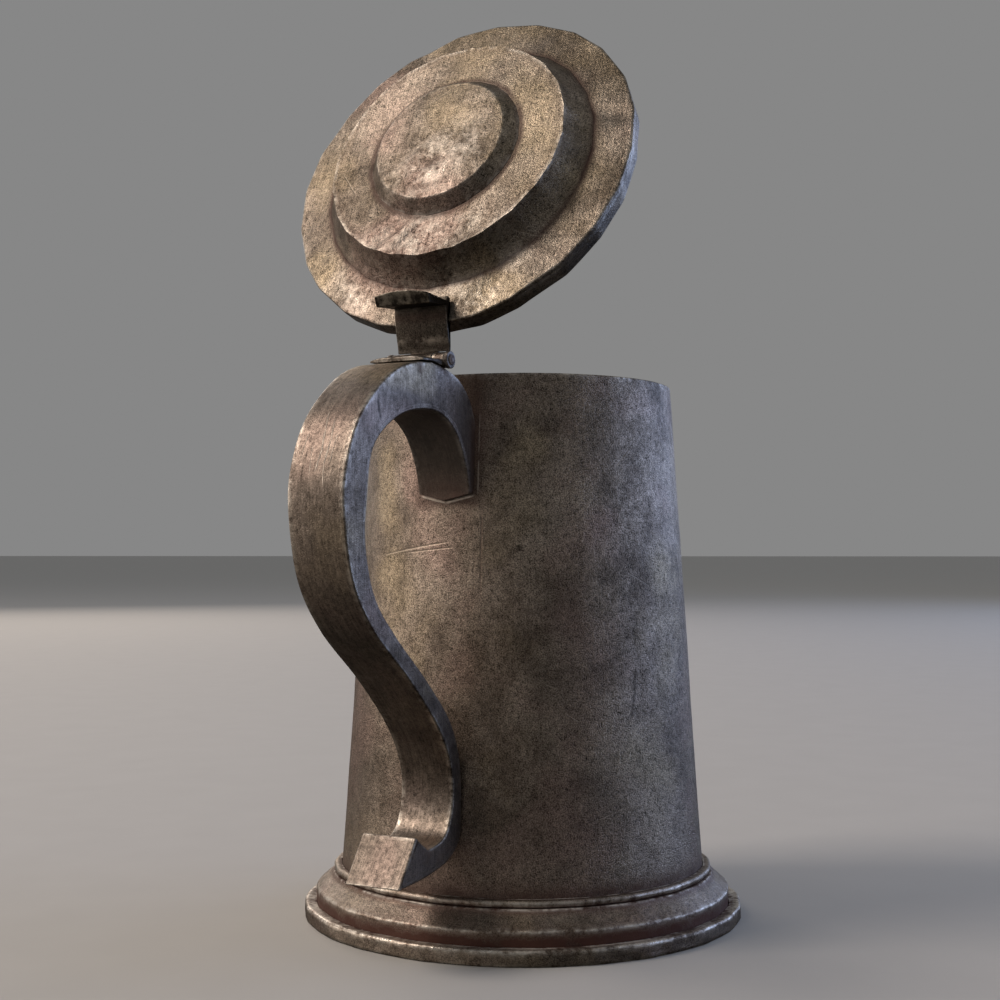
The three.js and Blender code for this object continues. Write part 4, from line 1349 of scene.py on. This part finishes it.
def place_pieces(body, pieces):
    """Makes a body's pieces from (part, the node it stands for, place, material, slot)."""
    for part, stands_for, place, material, slot in pieces:
        metal = "iron" if slot == "pin_iron" else "pewter"
        piece(part, f"{stands_for}_{metal}", place, body, slot, material, stands_for)


def tankard():
    drum, foot, handle, leaf = drum_pewter(), foot_pewter(), handle_pewter(), leaf_pewter()
    pin, lid, hinge, thumb = pin_iron(), lid_pewter(), hinge_pewter(), thumb_pewter()
    place_pieces(VESSEL, [
        (drum_wall(), "drum_wall", AT_DRUM, drum, "drum_pewter"),
        (drum_floor(), "drum_floor", AT_DRUM, drum, "drum_pewter"),
        (foot_band(), "foot_rim_band", AT_DRUM, foot, "foot_pewter"),
        (foot_moulding(), "foot_moulding", AT_DRUM, foot, "foot_pewter"),
        (collar_bead(), "collar_bead", AT_DRUM, foot, "foot_pewter"),
        (handle_shell(), "handle_shell", AT_DRUM, handle, "handle_pewter"),
        (handle_inner_strip(), "handle_inner_strip", AT_DRUM, handle, "handle_pewter"),
        (handle_heel_cap(), "handle_heel_cap", AT_DRUM, handle, "handle_pewter"),
        (hinge_leaf(), "hinge_leaf", AT_DRUM, leaf, "hinge_pewter"),
        (hinge_pin(), "hinge_pin", AT_HINGE, pin, "pin_iron"),
        (end_knuckle(1), "hinge_knuckle_left", AT_HINGE, leaf, "hinge_pewter"),
        (pin_washer(1), "pin_washer_left", AT_HINGE, pin, "pin_iron"),
        (end_knuckle(-1), "hinge_knuckle_right", AT_HINGE, leaf, "hinge_pewter"),
        (pin_washer(-1), "pin_washer_right", AT_HINGE, pin, "pin_iron"),
    ])
    place_pieces(LID, [
        (lid_cap(), "lid_cap", AT_LID, lid, "lid_pewter"),
        (lid_boss(), "lid_boss", AT_LID, lid, "lid_pewter"),
        (lid_rim_band(), "lid_rim_band", AT_LID, lid, "lid_pewter"),
        (lid_bezel(), "lid_bezel", AT_LID, lid, "lid_pewter"),
        (lid_strap(), "lid_strap", AT_LID, hinge, "hinge_pewter"),
        (lid_knuckle(), "lid_knuckle", AT_LID, hinge, "hinge_pewter"),
        (thumbpiece(), "thumbpiece", AT_LID, thumb, "hinge_pewter"),
    ])


# ---- Studio ----


def floor():
    reach, cells = 120.0, 12
    steps = np.linspace(-reach, reach, cells + 1)
    x, y = np.meshgrid(steps, steps)
    co = np.stack([x.ravel(), y.ravel(), np.zeros(x.size)], 1)
    mesh = bpy.data.meshes.new("floor")
    mesh.from_pydata(co.tolist(), [], net(cells + 1, cells + 1, close_columns=False))
    material = bpy.data.materials.new("floor_paper")
    material.use_nodes = True
    tree = material.node_tree
    shader = tree.nodes["Principled BSDF"]
    paper = Field(node(tree, "TexCoord").outputs["Object"]).cloud(25, 4, 0.5)
    tint = paper.mix((0.50, 0.495, 0.485), (0.54, 0.535, 0.525))
    tree.links.new(tint.socket, shader.inputs["Base Color"])
    shader.inputs["Roughness"].default_value = 0.9
    mesh.materials.append(material)
    made = bpy.data.objects.new("floor", mesh)
    made.visible_glossy = False
    bpy.context.scene.collection.objects.link(made)


def softbox(name, azimuth, elevation, distance, width, height, power, colour):
    """A soft light that faces the tankard's middle; its azimuth is counted from the handle towards +Y."""
    target = Vector((0, 0, 0.13))
    around, up = math.radians(azimuth), math.radians(elevation)
    direction = Vector((math.cos(up) * math.cos(around), math.cos(up) * math.sin(around), math.sin(up)))
    light = bpy.data.lights.new(name, "AREA")
    light.shape = "RECTANGLE"
    light.size = width
    light.size_y = height
    light.energy = power
    light.color = colour
    made = bpy.data.objects.new(name, light)
    made.location = target + direction * distance
    made.rotation_euler = (target - made.location).to_track_quat("-Z", "Y").to_euler()
    made.visible_camera = False
    bpy.context.scene.collection.objects.link(made)


def studio():
    floor()
    warm, cool = (1.0, 0.86, 0.74), (0.42, 0.585, 1.0)
    softbox("key", azimuth=-48, elevation=42, distance=2.4, width=0.9, height=0.9, power=25.5, colour=warm)
    softbox("fill", azimuth=-66, elevation=9, distance=2.75, width=3.0, height=1.1, power=19.5, colour=warm)
    softbox("edge", azimuth=-128, elevation=24, distance=2.5, width=1.2, height=1.2, power=12.0, colour=warm)
    softbox("rim", azimuth=138, elevation=14, distance=2.5, width=3.2, height=1.2, power=24.5, colour=cool)
    world = bpy.data.worlds.new("studio")
    world.use_nodes = True
    tree = world.node_tree
    background = tree.nodes["Background"]
    way = Field(node(tree, "TexCoord").outputs["Generated"])
    up = way.through("SeparateXYZ", {}, "Z")
    ahead = way.vector("DOT_PRODUCT", {1: (0.77, -0.64, 0)}, "Value")
    below = ahead.ranged(0.25, 0.8).mix((0.032, 0.029, 0.026), (0.21, 0.181, 0.152))
    room = up.ranged(-0.12, 0.0).mix(below, (0.242, 0.242, 0.242))
    tree.links.new(room.socket, background.inputs["Color"])
    bpy.context.scene.world = world
    bpy.context.scene.view_settings.view_transform = "Standard"


def camera():
    lens = bpy.data.cameras.new("camera")
    lens.sensor_width = 36
    lens.lens = 52.52
    lens.clip_end = 500
    made = bpy.data.objects.new("camera", lens)
    made.location = (0.3803, 0.2002, 0.1076)
    made.rotation_euler = (math.radians(92.16), 0, math.radians(117.27))
    bpy.context.scene.collection.objects.link(made)
    bpy.context.scene.camera = made


tankard()
studio()
camera()
